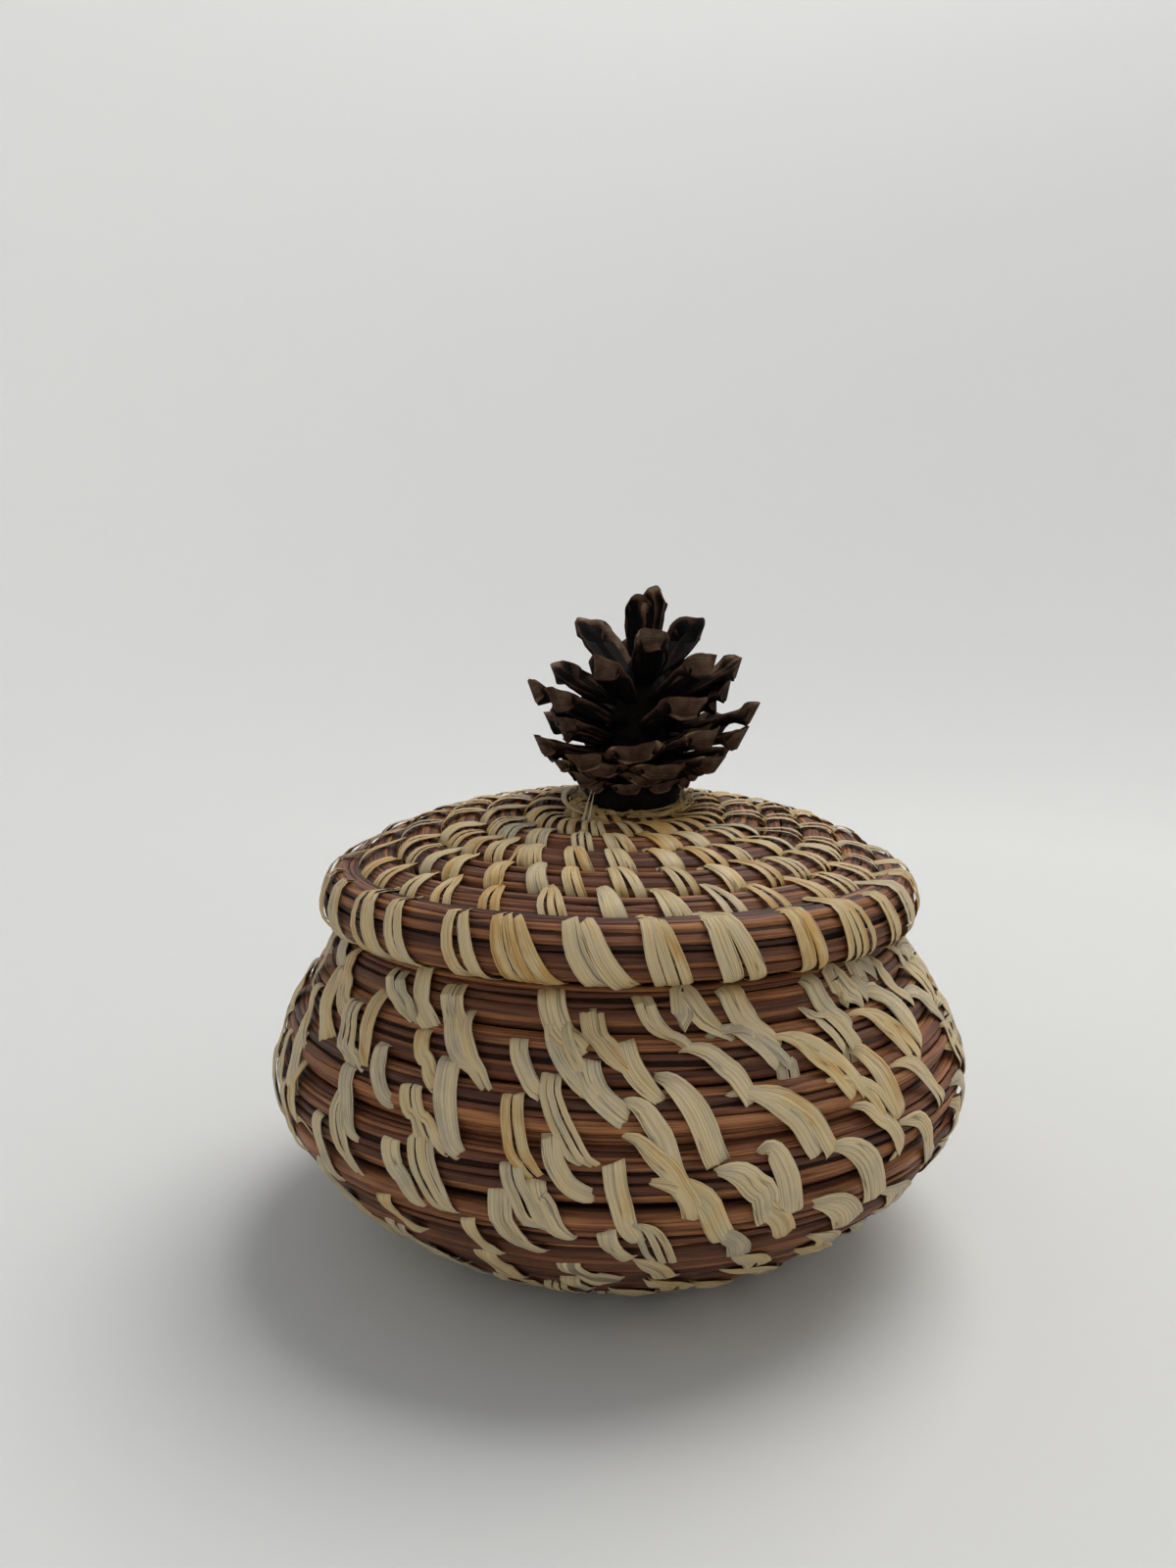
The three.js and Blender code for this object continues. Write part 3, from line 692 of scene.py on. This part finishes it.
def makeRibbonTree():
    tree, add, given = newTree("raffiaStrips", ribbon)
    facing = add("InputNamedAttribute", ("facing",), data_type="FLOAT_VECTOR")
    halfWidth = add("InputNamedAttribute", ("halfWidth",))
    length = add("SplineParameter").outputs["Length"]
    path = add("MeshToCurve", (given["Geometry"],))
    path = add("SetCurveNormal", {"Curve": path, "Normal": facing}, mode="FREE")
    path = add("StoreNamedAttribute", {"Geometry": path, "Name": "along", "Value": length})
    # a flat strip, crowned in the middle
    ring = add("CurvePrimitiveCircle", {"Resolution": 6, "Radius": 1})
    place = add("InputPosition")
    split = add("SeparateXYZ", (place,))
    across = split.outputs["Y"]
    thin = add("Math", (split, given["Thickness"]), "MULTIPLY")
    square = add("Math", (across, across), "MULTIPLY")
    sunk = add("Math", (square, given["Crown"]), "MULTIPLY")
    crowned = add("Math", (thin, sunk), "SUBTRACT")
    section = add("CombineXYZ", (crowned, across))
    ring = add("StoreNamedAttribute", {"Geometry": ring, "Name": "across", "Value": across})
    ring = add("SetPosition", {"Geometry": ring, "Position": section})
    strip = add("CurveToMesh", {"Curve": path, "Profile Curve": ring, "Scale": halfWidth,
                                "Fill Caps": True})
    return finishTree(tree, add, given, strip)


ribbonTree = makeRibbonTree()


def throughPoints(points, steps):
    # a smooth line through a few points (Catmull-Rom), for any number of columns
    points = np.asarray(points, float)
    padded = np.concatenate([2 * points[:1] - points[1:2], points, 2 * points[-1:] - points[-2:-1]])
    at = np.linspace(0, len(points) - 1, steps)
    i = np.minimum(at.astype(int), len(points) - 2)
    t = (at - i)[:, None]
    a, b, c, d = (padded[i + k] for k in range(4))
    square, cube = 2 * a - 5 * b + 4 * c - d, 3 * b - a - 3 * c + d
    return 0.5 * (2 * b + (c - a) * t + square * t ** 2 + cube * t ** 3)


def bundleSurface(coil, turns, wrap, lift):
    # a point on a bundle's skin, at an angle round it, and the way that it faces
    place = coilAt(coil, turns)
    cosine, sine = np.cos(wrap), np.sin(wrap)
    power = needles["Fullness"]
    c = np.sign(cosine) * np.abs(cosine) ** power * (place.halfThickness + lift)
    s = np.sign(sine) * np.abs(sine) ** power * (place.halfWidth + lift)
    point = place.centre + place.out * c[:, None] + place.toNext * s[:, None]
    facing = place.out * (cosine + 0.35)[:, None] + place.toNext * (0.65 * sine)[:, None]
    return point, facing


def newLines():
    return {"points": [], "facing": [], "halfWidth": [], "tone": []}


def addLine(lines, points, facing, halfWidth, tone):
    lines["points"].append(points)
    lines["facing"].append(facing / np.linalg.norm(facing, axis=1)[:, None])
    lines["halfWidth"].append(np.broadcast_to(halfWidth, len(points)))
    lines["tone"].append(np.full(len(points), np.clip(tone, 0, 1)))


def ribbonPiece(name, lines, body, *nodes):
    made = guideObject(name, lines.pop("points"), lines)
    runTree(made, ribbonTree, {**ribbon, "Material": raffiaFinish})
    finishPiece(made, body, "raffia", *nodes)


def wayRound(coil, turns):
    # how long the coil's turn is there
    return fullTurn * max(float(coilAt(coil, turns).radius), leastReach)


def sewStrips(lines, coil, turns, path, lean, width, count, lifted, tone, rng):
    # the strips of one pass of a stitch, side by side, each with a slant and lift of its own
    row, wrap, lift, share, widths, spread = np.array(path, float).T
    onceRound = wayRound(coil, turns)
    varies = stripVaries
    for strip in range(count):
        bow = 1 + rng.uniform(*varies["bow"]) * np.sin(math.pi * np.clip(share, 0, 1))
        place = (strip - (count - 1) / 2) * width / count * bow
        here = lean * (1 + rng.uniform(*varies["slant"]))
        at = turns + (here * share + place * spread) / onceRound + row
        up = np.where(lift > 0, lift * lifted, lift) + rng.uniform(*varies["lift"]) + 0.1 * (strip % 2)
        spots, facing = bundleSurface(coil, at, np.radians(wrap + rng.uniform(*varies["wrap"])), up * mm)
        half = width / count / 2 * widths * rng.uniform(*varies["width"])
        smooth = throughPoints(np.column_stack([spots, facing, half]), stripSteps)
        aside = np.cross(np.gradient(smooth[:, :3], axis=0), smooth[:, 3:6])
        aside /= np.linalg.norm(aside, axis=1)[:, None]
        addLine(lines, smooth[:, :3], smooth[:, 3:6] + rng.uniform(*varies["facing"]) * aside,
                np.maximum(smooth[:, 6], 0.1 * mm), tone + rng.uniform(*varies["tone"]))


def sewRow(name, coil, row, body, style, path, rng, *nodes):
    # one row of stitches, from its start at the back, evenly spaced by hand
    lines = newLines()
    spacing = 1 / style["perRow"]
    first = style["front"].get(row, rng.uniform(0, 360 * spacing)) / 360
    places = np.sort((first + spacing * np.arange(style["perRow"]) + 0.5) % 1 - 0.5)
    for place in places + spacing * rng.uniform(*stitchVaries["place"], len(places)):
        onceRound = wayRound(coil, row + place)
        stitches = int(rng.choice(style["inGroup"]))
        for number in range(stitches):
            onward = number * style["step"]
            gap = style["step"] if number < stitches - 1 else spacing * onceRound - onward
            rise = number * style["rise"]
            sewStitch(lines, coil, row, place + onward / onceRound, gap, rise, style, path, rng)
    ribbonPiece(name, lines, body, *nodes)


def sewStitch(lines, coil, row, place, gap, rise, style, path, rng):
    # one stitch, and inside the basket its way on to the next one, a gap further along the row
    varies = stitchVaries
    downward = path is wallPath
    edge = row == coil.rows and path is not lipPath
    turns = row + place
    lean = style["lean"] * rng.uniform(*varies["wallLean" if downward else "lidLean"])
    onceRound = wayRound(coil, turns)
    wide = style["width"] * rng.uniform(*varies["width"])
    count = int(rng.choice(style["strips"]))
    tone = rng.normal(style["golden"], toneSpread)
    end = rng.uniform(*varies["rimStart" if edge else "start"])
    point = float(rng.choice(endWidths))
    top = rng.uniform(*varies["top"]) + rise
    down = rng.uniform(*varies["down"])
    if coilAt(coil, turns + gap / onceRound).tail < leastTail:
        return
    if downward:
        folded = place > 0 and not edge
        wide = wide * (foldedWidth if folded else 1)
        outer = wallPath(top, down, point, folded)
    else:
        turns = turns - lean / 2 / onceRound
        outer = path(end, point)
    if edge:
        outer = overEdge(outer, downward)
    sewStrips(lines, coil, turns, outer, lean, wide, count, style["lift"], tone, rng)
    if path is lipPath:
        return
    inner = overEdge(innerPath()) if edge else innerPath()
    if not downward:
        inner = [(r, w, h, 1 - s, *sizes) for r, w, h, s, *sizes in inner][::-1]
    after = turns + lean / onceRound
    wide = wide * innerWidth
    sewStrips(lines, coil, after, inner, gap - lean, wide, max(1, count - 1), style["lift"], tone, rng)


def pieceName(row):
    # such as wallRow1Raffia for wall_row_1
    first, *rest = row.split("_")
    return first + "".join(word.capitalize() for word in rest) + "Raffia"


rng = np.random.default_rng(stitchSeed)
firstBodyRow, firstGroupedRow, firstLidRow = 6, 9, 3
for row in range(firstBodyRow, bodyShape["rows"] + 1):
    name = "mouth_row" if row == bodyShape["rows"] else f"wall_row_{row - firstBodyRow + 1}"
    style = lowStitches if row < firstGroupedRow else wallStitches
    sewRow(pieceName(name), bodyCoil, row, "basket", style, wallPath, rng, name + "_raffia")
for row in range(2, firstBodyRow):
    style = {**baseStitches, "perRow": 5 * row}
    sewRow(f"baseRow{row}Raffia", bodyCoil, row, "basket", style, wallPath, rng)
for row in range(firstLidRow, lidShape["rows"] + 1):
    last = row == lidShape["rows"]
    name = "lid_rim" if last else f"lid_row_{row - firstLidRow + 1}"
    style = {**lidStitches, "perRow": min(lidStitches["perRow"], 7 * row), **(rimStitches if last else {})}
    sewRow(pieceName(name), lidCoil, row, "lid", style, lidPath, rng, name + "_raffia")
for row in range(1, firstLidRow):
    style = {**lidStitches, "perRow": 9 * row, "golden": 0.92}
    sewRow(f"lidCrownRow{row}Raffia", lidCoil, row, "lid", style, lidPath, rng)
sewRow("lidLipRaffia", lipCoil, 1, "lid", lipStitches, lipPath, rng)
print("raffia sewn")


# Pine cone: a leaning core with woody scales, and its tie of raffia round the foot

coneShape = {
    "foot": 8.2 * mm,
    "footHeight": 4.6 * mm,
    "waist": 5.2 * mm,
    "top": 1.6 * mm,
    "coreHeight": 24.5 * mm,
    "offset": 2.6 * mm,
    "lean": 0.08,
    "rootRise": 0.576,  # how far up a scale's root is, as a share of its tip's height over the lowest scales
    "lowest": 3.4 * mm,
}
# Open scales: degrees round the cone with the front at -90, tip's height and tip's reach in mm, width in mm
openScales = [
    (130, 30.5, 16, 8.6), (105, 34, 4.6, 5.5), (75, 35.2, 3, 5), (50, 30.4, 14, 7.4),
    (12, 23.4, 17.2, 8), (-5, 15.4, 20.4, 9.2), (-24, 11.6, 19.4, 8.6), (-40, 7.2, 17.2, 8.2),
    (178, 19, 19.4, 8.8), (-142, 18.2, 19, 8.6), (-164, 9.8, 18, 9), (-121, 23.3, 14, 6.8),
    (-86, 27.7, 10, 6), (-67, 17, 18.4, 9), (-93, 9.4, 16.8, 9.4), (-127, 7.6, 16, 9),
    (-49, 23.6, 15, 7), (-52, 11.8, 18.2, 8.4), (92, 27, 12, 8), (62, 21, 17.5, 9),
    (150, 22.5, 17.5, 8.6), (105, 19, 18.6, 9), (80, 14, 19.6, 9.2), (34, 13, 19.6, 9.2),
    (143, 13.2, 19.4, 9.2), (112, 9.4, 18.2, 9), (60, 8.8, 17.8, 9), (16, 7.8, 17.4, 8.6),
    (168, 7.8, 16.6, 8.8), (-155, 13.4, 14.5, 8.4), (170, 14.6, 15.5, 8.8), (-2, 19.2, 15, 8.4),
]
# Rings of closer scales: tip's height, reach and width in mm, how many, degrees of the first, and whether
# the ring is open at the front
closerRings = [
    (22.5, 8, 7, 5, 20, True), (16.5, 13, 8.6, 6, 5, True), (11.5, 14, 9.2, 6, 12, True),
    (6.2, 14.4, 10.2, 8, 14, False), (4.3, 11.8, 9.4, 6, 32, False), (2.4, 10, 6.4, 10, 8, False),
]
scaleRule = {"Wave": 0.7 * mm, "Wave Length": 4 * mm, "Crease": math.radians(50), "Seed": 5}


def scaleTemplate():
    # one scale of unit length and width: a dished blade with two seed hollows, and a thick blunt end
    stations = np.array([0, 0.14, 0.3, 0.45, 0.58, 0.68, 0.76, 0.83, 0.9, 0.96, 1.0])
    sides = np.array([-1, -0.86, -0.6, -0.3, 0, 0.3, 0.6, 0.86, 1])
    u, v = np.meshgrid(stations, sides, indexing="ij")
    half = 0.5 * (0.44 + 0.56 * smoothstep(u, 0.0, 0.6)) * (1 - 0.22 * smoothstep(u, 0.92, 1.03))
    knob = smoothstep(u, 0.66, 0.88)
    middle = -0.07 * np.sin(np.pi * u) - 0.04 * knob
    hollow = 0.09 * np.abs(np.sin(np.pi * v)) * (1 - smoothstep(u, 0.78, 0.92)) * smoothstep(u, 0.05, 0.3)
    upper = middle + 0.022 + 0.02 * v ** 2 - hollow + 0.01 * knob
    lower = middle - 0.022 - 0.12 * knob * (1 - 0.5 * v ** 4) + 0.02 * v ** 2
    over = u - 0.08 * v ** 4 * smoothstep(u, 0.75, 1.0)  # rounded corners
    under = over - 0.13 * smoothstep(u, 0.8, 1.0)
    narrow = half * (1 - 0.32 * knob)
    # the ridges along the edges and middle are lightened: the scale's own red-brown rims, and a painted
    # highlight. Elsewhere on the blade and on its underside the tip value stays low, which the material
    # paints near black as painted shade
    ridgeAndHighlight = np.maximum(smoothstep(np.abs(v), 0.62, 0.9), 0.8 * (1 - smoothstep(np.abs(v), 0.05, 0.3)))
    tip = np.maximum(0.95 * smoothstep(u, 0.84, 0.97), 0.95 * ridgeAndHighlight * smoothstep(u, 0.05, 0.5))
    blunt = np.maximum(0.8 * smoothstep(u, 0.86, 0.97), 0.15)
    sheets = ((over, half, upper), (under, narrow, lower))
    points = [np.column_stack([a.ravel(), (v * b).ravel(), c.ravel()]) for a, b, c in sheets]
    grid = np.arange(u.size).reshape(u.shape)
    quads = np.stack([grid[:-1, :-1], grid[1:, :-1], grid[1:, 1:], grid[:-1, 1:]], -1).reshape(-1, 4)
    both = np.stack([quads, quads[:, ::-1] + u.size], 1).reshape(-1, 4)
    border = np.concatenate([grid[:, 0], grid[-1, 1:], grid[-2::-1, -1], grid[0, -2:0:-1]])
    after = np.roll(border, -1)
    band = np.column_stack([after, border, border + u.size, after + u.size])
    mesh = bpy.data.meshes.new("coneScale")
    mesh.from_pydata(np.concatenate(points).tolist(), [], np.concatenate([both, band]).tolist())
    for label, values in {"tip": (tip, blunt), "level": (0 * u, 0 * u + 1), "limp": (u, u)}.items():
        setAttribute(mesh, label, np.ravel(values))
    return newObject("coneScale", mesh)


def makeScaleTree():
    tree, add, given = newTree("coneScales", scaleRule, Scale="Object")
    turned, sized = (add("InputNamedAttribute", (name,), data_type="FLOAT_VECTOR")
                     for name in ("turned", "sized"))
    limp = add("InputNamedAttribute", ("limp",))
    blade = add("GeometryNodeObjectInfo", {"Object": given["Scale"], "As Instance": True})
    rotation = add("EulerToRotation", (turned,))
    placed = add("InstanceOnPoints", {"Points": given["Geometry"], "Instance": blade.outputs["Geometry"],
                                      "Rotation": rotation, "Scale": sized})
    whole = add("RealizeInstances", (placed,))
    # dried scales are wavy, most of all at their ends
    place = add("InputPosition")
    apart = add("Math", (1.0, given["Wave Length"]), "DIVIDE")
    scaled = add("VectorMath", {0: place, "Scale": apart.outputs[0]}, "SCALE")
    noise = add("TexNoise", {"Vector": scaled, "W": given["Seed"], "Scale": 1, "Detail": 2},
                noise_dimensions="4D")
    centred = add("VectorMath", (noise.outputs["Color"], (0.5, 0.5, 0.5)), "SUBTRACT")
    strong = add("Math", (limp, given["Wave"]), "MULTIPLY")
    strong = add("Math", (strong, 3.0), "MULTIPLY")
    moved = add("VectorMath", {0: centred, "Scale": strong.outputs[0]}, "SCALE")
    wavy = add("SetPosition", {"Geometry": whole, "Offset": moved})
    return finishTree(tree, add, given, wavy)


coneLow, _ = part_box("pine_cone")
coneFoot = np.array([coneShape["offset"], 0, coneLow.z])


def coreRadius(height):
    s = coneShape
    marks = [0, 0.8 * mm, s["footHeight"] * 0.7, s["footHeight"] + 1.5 * mm, s["coreHeight"] * 0.45,
             s["coreHeight"]]
    radii = [s["foot"] * 0.9, s["foot"], s["foot"] * 0.99, s["foot"] * 0.8, s["waist"], s["top"]]
    return np.interp(height, marks, radii)


def coneAxis(height):
    # the cone leans to one side
    return coneFoot + np.stack([coneShape["lean"] * height, 0 * height, height], -1)


def makeConeCore(sides=40, levels=34):
    angles = np.linspace(0, fullTurn, sides, endpoint=False)
    circle = np.stack([np.cos(angles), np.sin(angles), 0 * angles], -1)
    points = [coneAxis(np.array(0.0))]
    for height in np.linspace(0, coneShape["coreHeight"], levels):
        knobbly = 1 + 0.05 * np.sin(9 * angles + height / (1.1 * mm))
        knobbly = knobbly + 0.03 * np.sin(5 * angles - height / (0.7 * mm))
        ring = coneAxis(np.full(sides, height)) + circle * (coreRadius(height) * knobbly)[:, None]
        # it stands on the lid
        ring[:, 2] -= lidSag(ring[:, 0], ring[:, 1]) * (1 - smoothstep(height, 0, 4 * mm))
        points += list(ring)
    points.append(coneAxis(np.array(coneShape["coreHeight"] + 0.8 * mm)))
    top = len(points) - 1
    faces = ringFaces(levels, sides)
    faces += [(top - sides + j, top - sides + (j + 1) % sides, top) for j in range(sides)]
    mesh = plainMesh("coneCore", [tuple(p) for p in points], faces, coneFinish)
    # the core is painted near black: its own dark wood and painted shade, as little light reaches it between
    # the scales
    setAttribute(mesh, "tip", np.full(len(points), 0.12))
    finishPiece(newObject("coneCore", mesh), "lid", "pine_cone", "pine_cone")


def makeConeScales():
    rng = np.random.default_rng(scaleRule["Seed"])
    tips = [(math.radians(turn), *(size * mm for size in sizes)) for turn, *sizes in openScales]
    for height, reach, width, count, first, hollow in closerRings:
        for k in range(count):
            turn = math.radians(first) + fullTurn * (k + rng.uniform(-0.12, 0.12)) / count
            if hollow and math.cos(turn - front) > 0.75:
                continue
            tips.append((turn, height * mm + rng.uniform(-0.4, 0.4) * mm, reach * mm, width * mm))
    lowest = coneShape["lowest"]
    spots, turned, sized = [], [], []
    for turn, height, reach, width in tips:
        root = min(lowest + (height - lowest) * coneShape["rootRise"], height - 0.3 * mm)
        begin = coreRadius(root) * 0.5
        outward = np.array([math.cos(turn), math.sin(turn), 0])
        start = coneAxis(np.array(root)) + outward * begin
        end = coneAxis(np.array(height)) + outward * reach
        line = end - start
        length = float(np.linalg.norm(line))
        spots.append(start)
        turned.append((rng.uniform(-0.14, 0.14), -math.asin(line[2] / length), math.atan2(line[1], line[0])))
        sized.append((length, width, 0.55 * length + 7 * mm))
    made = guideObject("coneScales", [np.array(spots)], {"turned": [turned], "sized": [sized]})
    template = scaleTemplate()
    runTree(made, makeScaleTree(), {**scaleRule, "Scale": template, "Material": coneFinish})
    bpy.data.objects.remove(template)
    finishPiece(made, "lid", "pine_cone", "pine_cone")
    print("coneScales", len(made.data.polygons), "faces")


makeConeCore()
makeConeScales()

coneTie = {"strands": 12, "nest": 2.3 * mm, "width": 1.1 * mm, "fibres": 130, "seed": 23}
# Loose fibres on the lid: row and degrees from the front where each begins and ends, how far that end
# stands up in mm, and its tone
looseFibres = [
    (1.7, -32, 1.6, -36, 5.6, 0.1), (1.7, -26, 1.7, -27, 4.8, 0.2), (1.8, -29, 1.7, -31, 5.2, 0.1),
    (3.7, -36, 5.9, -25, 0.6, 0.9), (5.7, -29, 6.3, -26, 1.2, 0.1),
]


def tieCone():
    # loose turns of raffia lying round the cone's foot, and the golden fuzz of their ends
    rng = np.random.default_rng(coneTie["seed"])
    lines = newLines()
    for k in range(coneTie["strands"] + coneTie["fibres"]):
        fibre = k >= coneTie["strands"]
        steps = 7 if fibre else 24
        begin = rng.uniform(0, fullTurn)
        share = np.linspace(0, 1, steps)
        angle = begin + (rng.uniform(0.1, 0.5) if fibre else rng.uniform(1.2, 3.6)) * share
        bow = rng.uniform(-1.2, 1.2) * mm * np.sin(math.pi * share) + rng.uniform(-2, 2) * mm * share
        radius = coneShape["foot"] + np.abs(rng.uniform(0.2, 1) * coneTie["nest"] + bow) + 0.1 * mm
        outward = np.stack([np.cos(angle), np.sin(angle), 0 * angle], -1)
        points = coneFoot + outward * radius[:, None]
        higher = rng.uniform(0.1, 1.1) * mm * np.sin(math.pi * np.clip(share, 0.08, 0.92))
        points[:, 2] += higher - 0.25 * mm - lidSag(points[:, 0], points[:, 1])
        half = (0.22 * mm if fibre else coneTie["width"] / 2 * rng.uniform(0.5, 1.1)) * (1.1 - share ** 4)
        facing = np.array([0, 0, 1.0]) + rng.uniform(-0.2, 0.5) * outward
        addLine(lines, points, facing, half, 0.85 + rng.uniform(-0.25, 0.15))
    for rowA, turnA, rowB, turnB, stands, tone in looseFibres:
        share = np.linspace(0, 1, 12)
        row, wrap = besideRow(rowA + (rowB - rowA) * share)
        turns = row + (turnA + (turnB - turnA) * share) / 360
        points, facing = bundleSurface(lidCoil, turns, np.radians(wrap), (0.3 + stands * share ** 2) * mm)
        addLine(lines, points, facing, 0.4 * mm * (1.1 - share), tone)
    ribbonPiece("coneTieRaffia", lines, "lid", "cone_tie")


tieCone()
print("pine cone made")


# Floor, light and camera

view = {
    "camera": (-5.1 * mm, -188.5 * mm, 96.2 * mm),
    "pitch": math.radians(6.6),
    "focal": 1115,  # in pixels of the 1600 that the image is tall
    "tall": 1600,
    "sensor": 36,
}
lampAim = Vector((0, 0, 0.05))
floorShape = {"flat": 0.45, "radius": 1.9, "rise": 2.6, "rings": 44, "sides": 96}


def makeFloor():
    # a pale floor that sweeps up all round, so that no horizon shows
    material, _ = newMaterial("paleStudioFloor")
    finishMaterial(material, {"Base Color": linear("#CECECC"), "Roughness": 0.9})
    s = floorShape
    radii = np.linspace(0, s["radius"], s["rings"] + 1)[1:]
    heights = s["rise"] * smoothstep(radii, s["flat"], s["radius"] * 1.25)
    angles = np.linspace(0, fullTurn, s["sides"], endpoint=False)
    points = [(0, 0, 0)]
    for r, z in zip(radii, heights):
        points += [(r * math.cos(a), r * math.sin(a), z) for a in angles]
    faces = [face[::-1] for face in ringFaces(s["rings"], s["sides"])]
    mesh = plainMesh("studioFloor", points, faces, material)
    newObject("studioFloor", mesh)


def addLamp(name, place, size, power, colour):
    lamp = bpy.data.lights.new(name, "AREA")
    lamp.shape = "DISK"
    lamp.size = size
    lamp.energy = power
    lamp.color = linear(colour)[:3]
    made = newObject(name, lamp)
    made.location = place
    made.rotation_euler = (lampAim - Vector(place)).to_track_quat("-Z", "Y").to_euler()


def makeCamera():
    camera = bpy.data.cameras.new("photoCamera")
    camera.sensor_fit = "VERTICAL"
    camera.sensor_width = camera.sensor_height = view["sensor"]
    camera.lens = view["focal"] / view["tall"] * view["sensor"]
    camera.clip_start = 0.01
    made = newObject("photoCamera", camera)
    made.location = view["camera"]
    made.rotation_euler = (math.pi / 2 - view["pitch"], 0, 0)
    bpy.context.scene.camera = made


def makeWorld():
    world = bpy.data.worlds.new("softSky")
    world.use_nodes = True
    tree = world.node_tree
    fillInputs(tree, tree.nodes["Background"], {"Color": linear("#D6E1F6"), "Strength": 0.3})
    bpy.context.scene.world = world


makeFloor()
makeCamera()
makeWorld()
addLamp("windowRightBack", (0.9, 0.8, 2.2), 2.0, 58, "#FFFDFA")
addLamp("fillFront", (-0.9, -1.7, 1.5), 2.0, 8.5, "#EFF3FF")
bpy.context.scene.view_settings.view_transform = "Standard"
print("stage set")
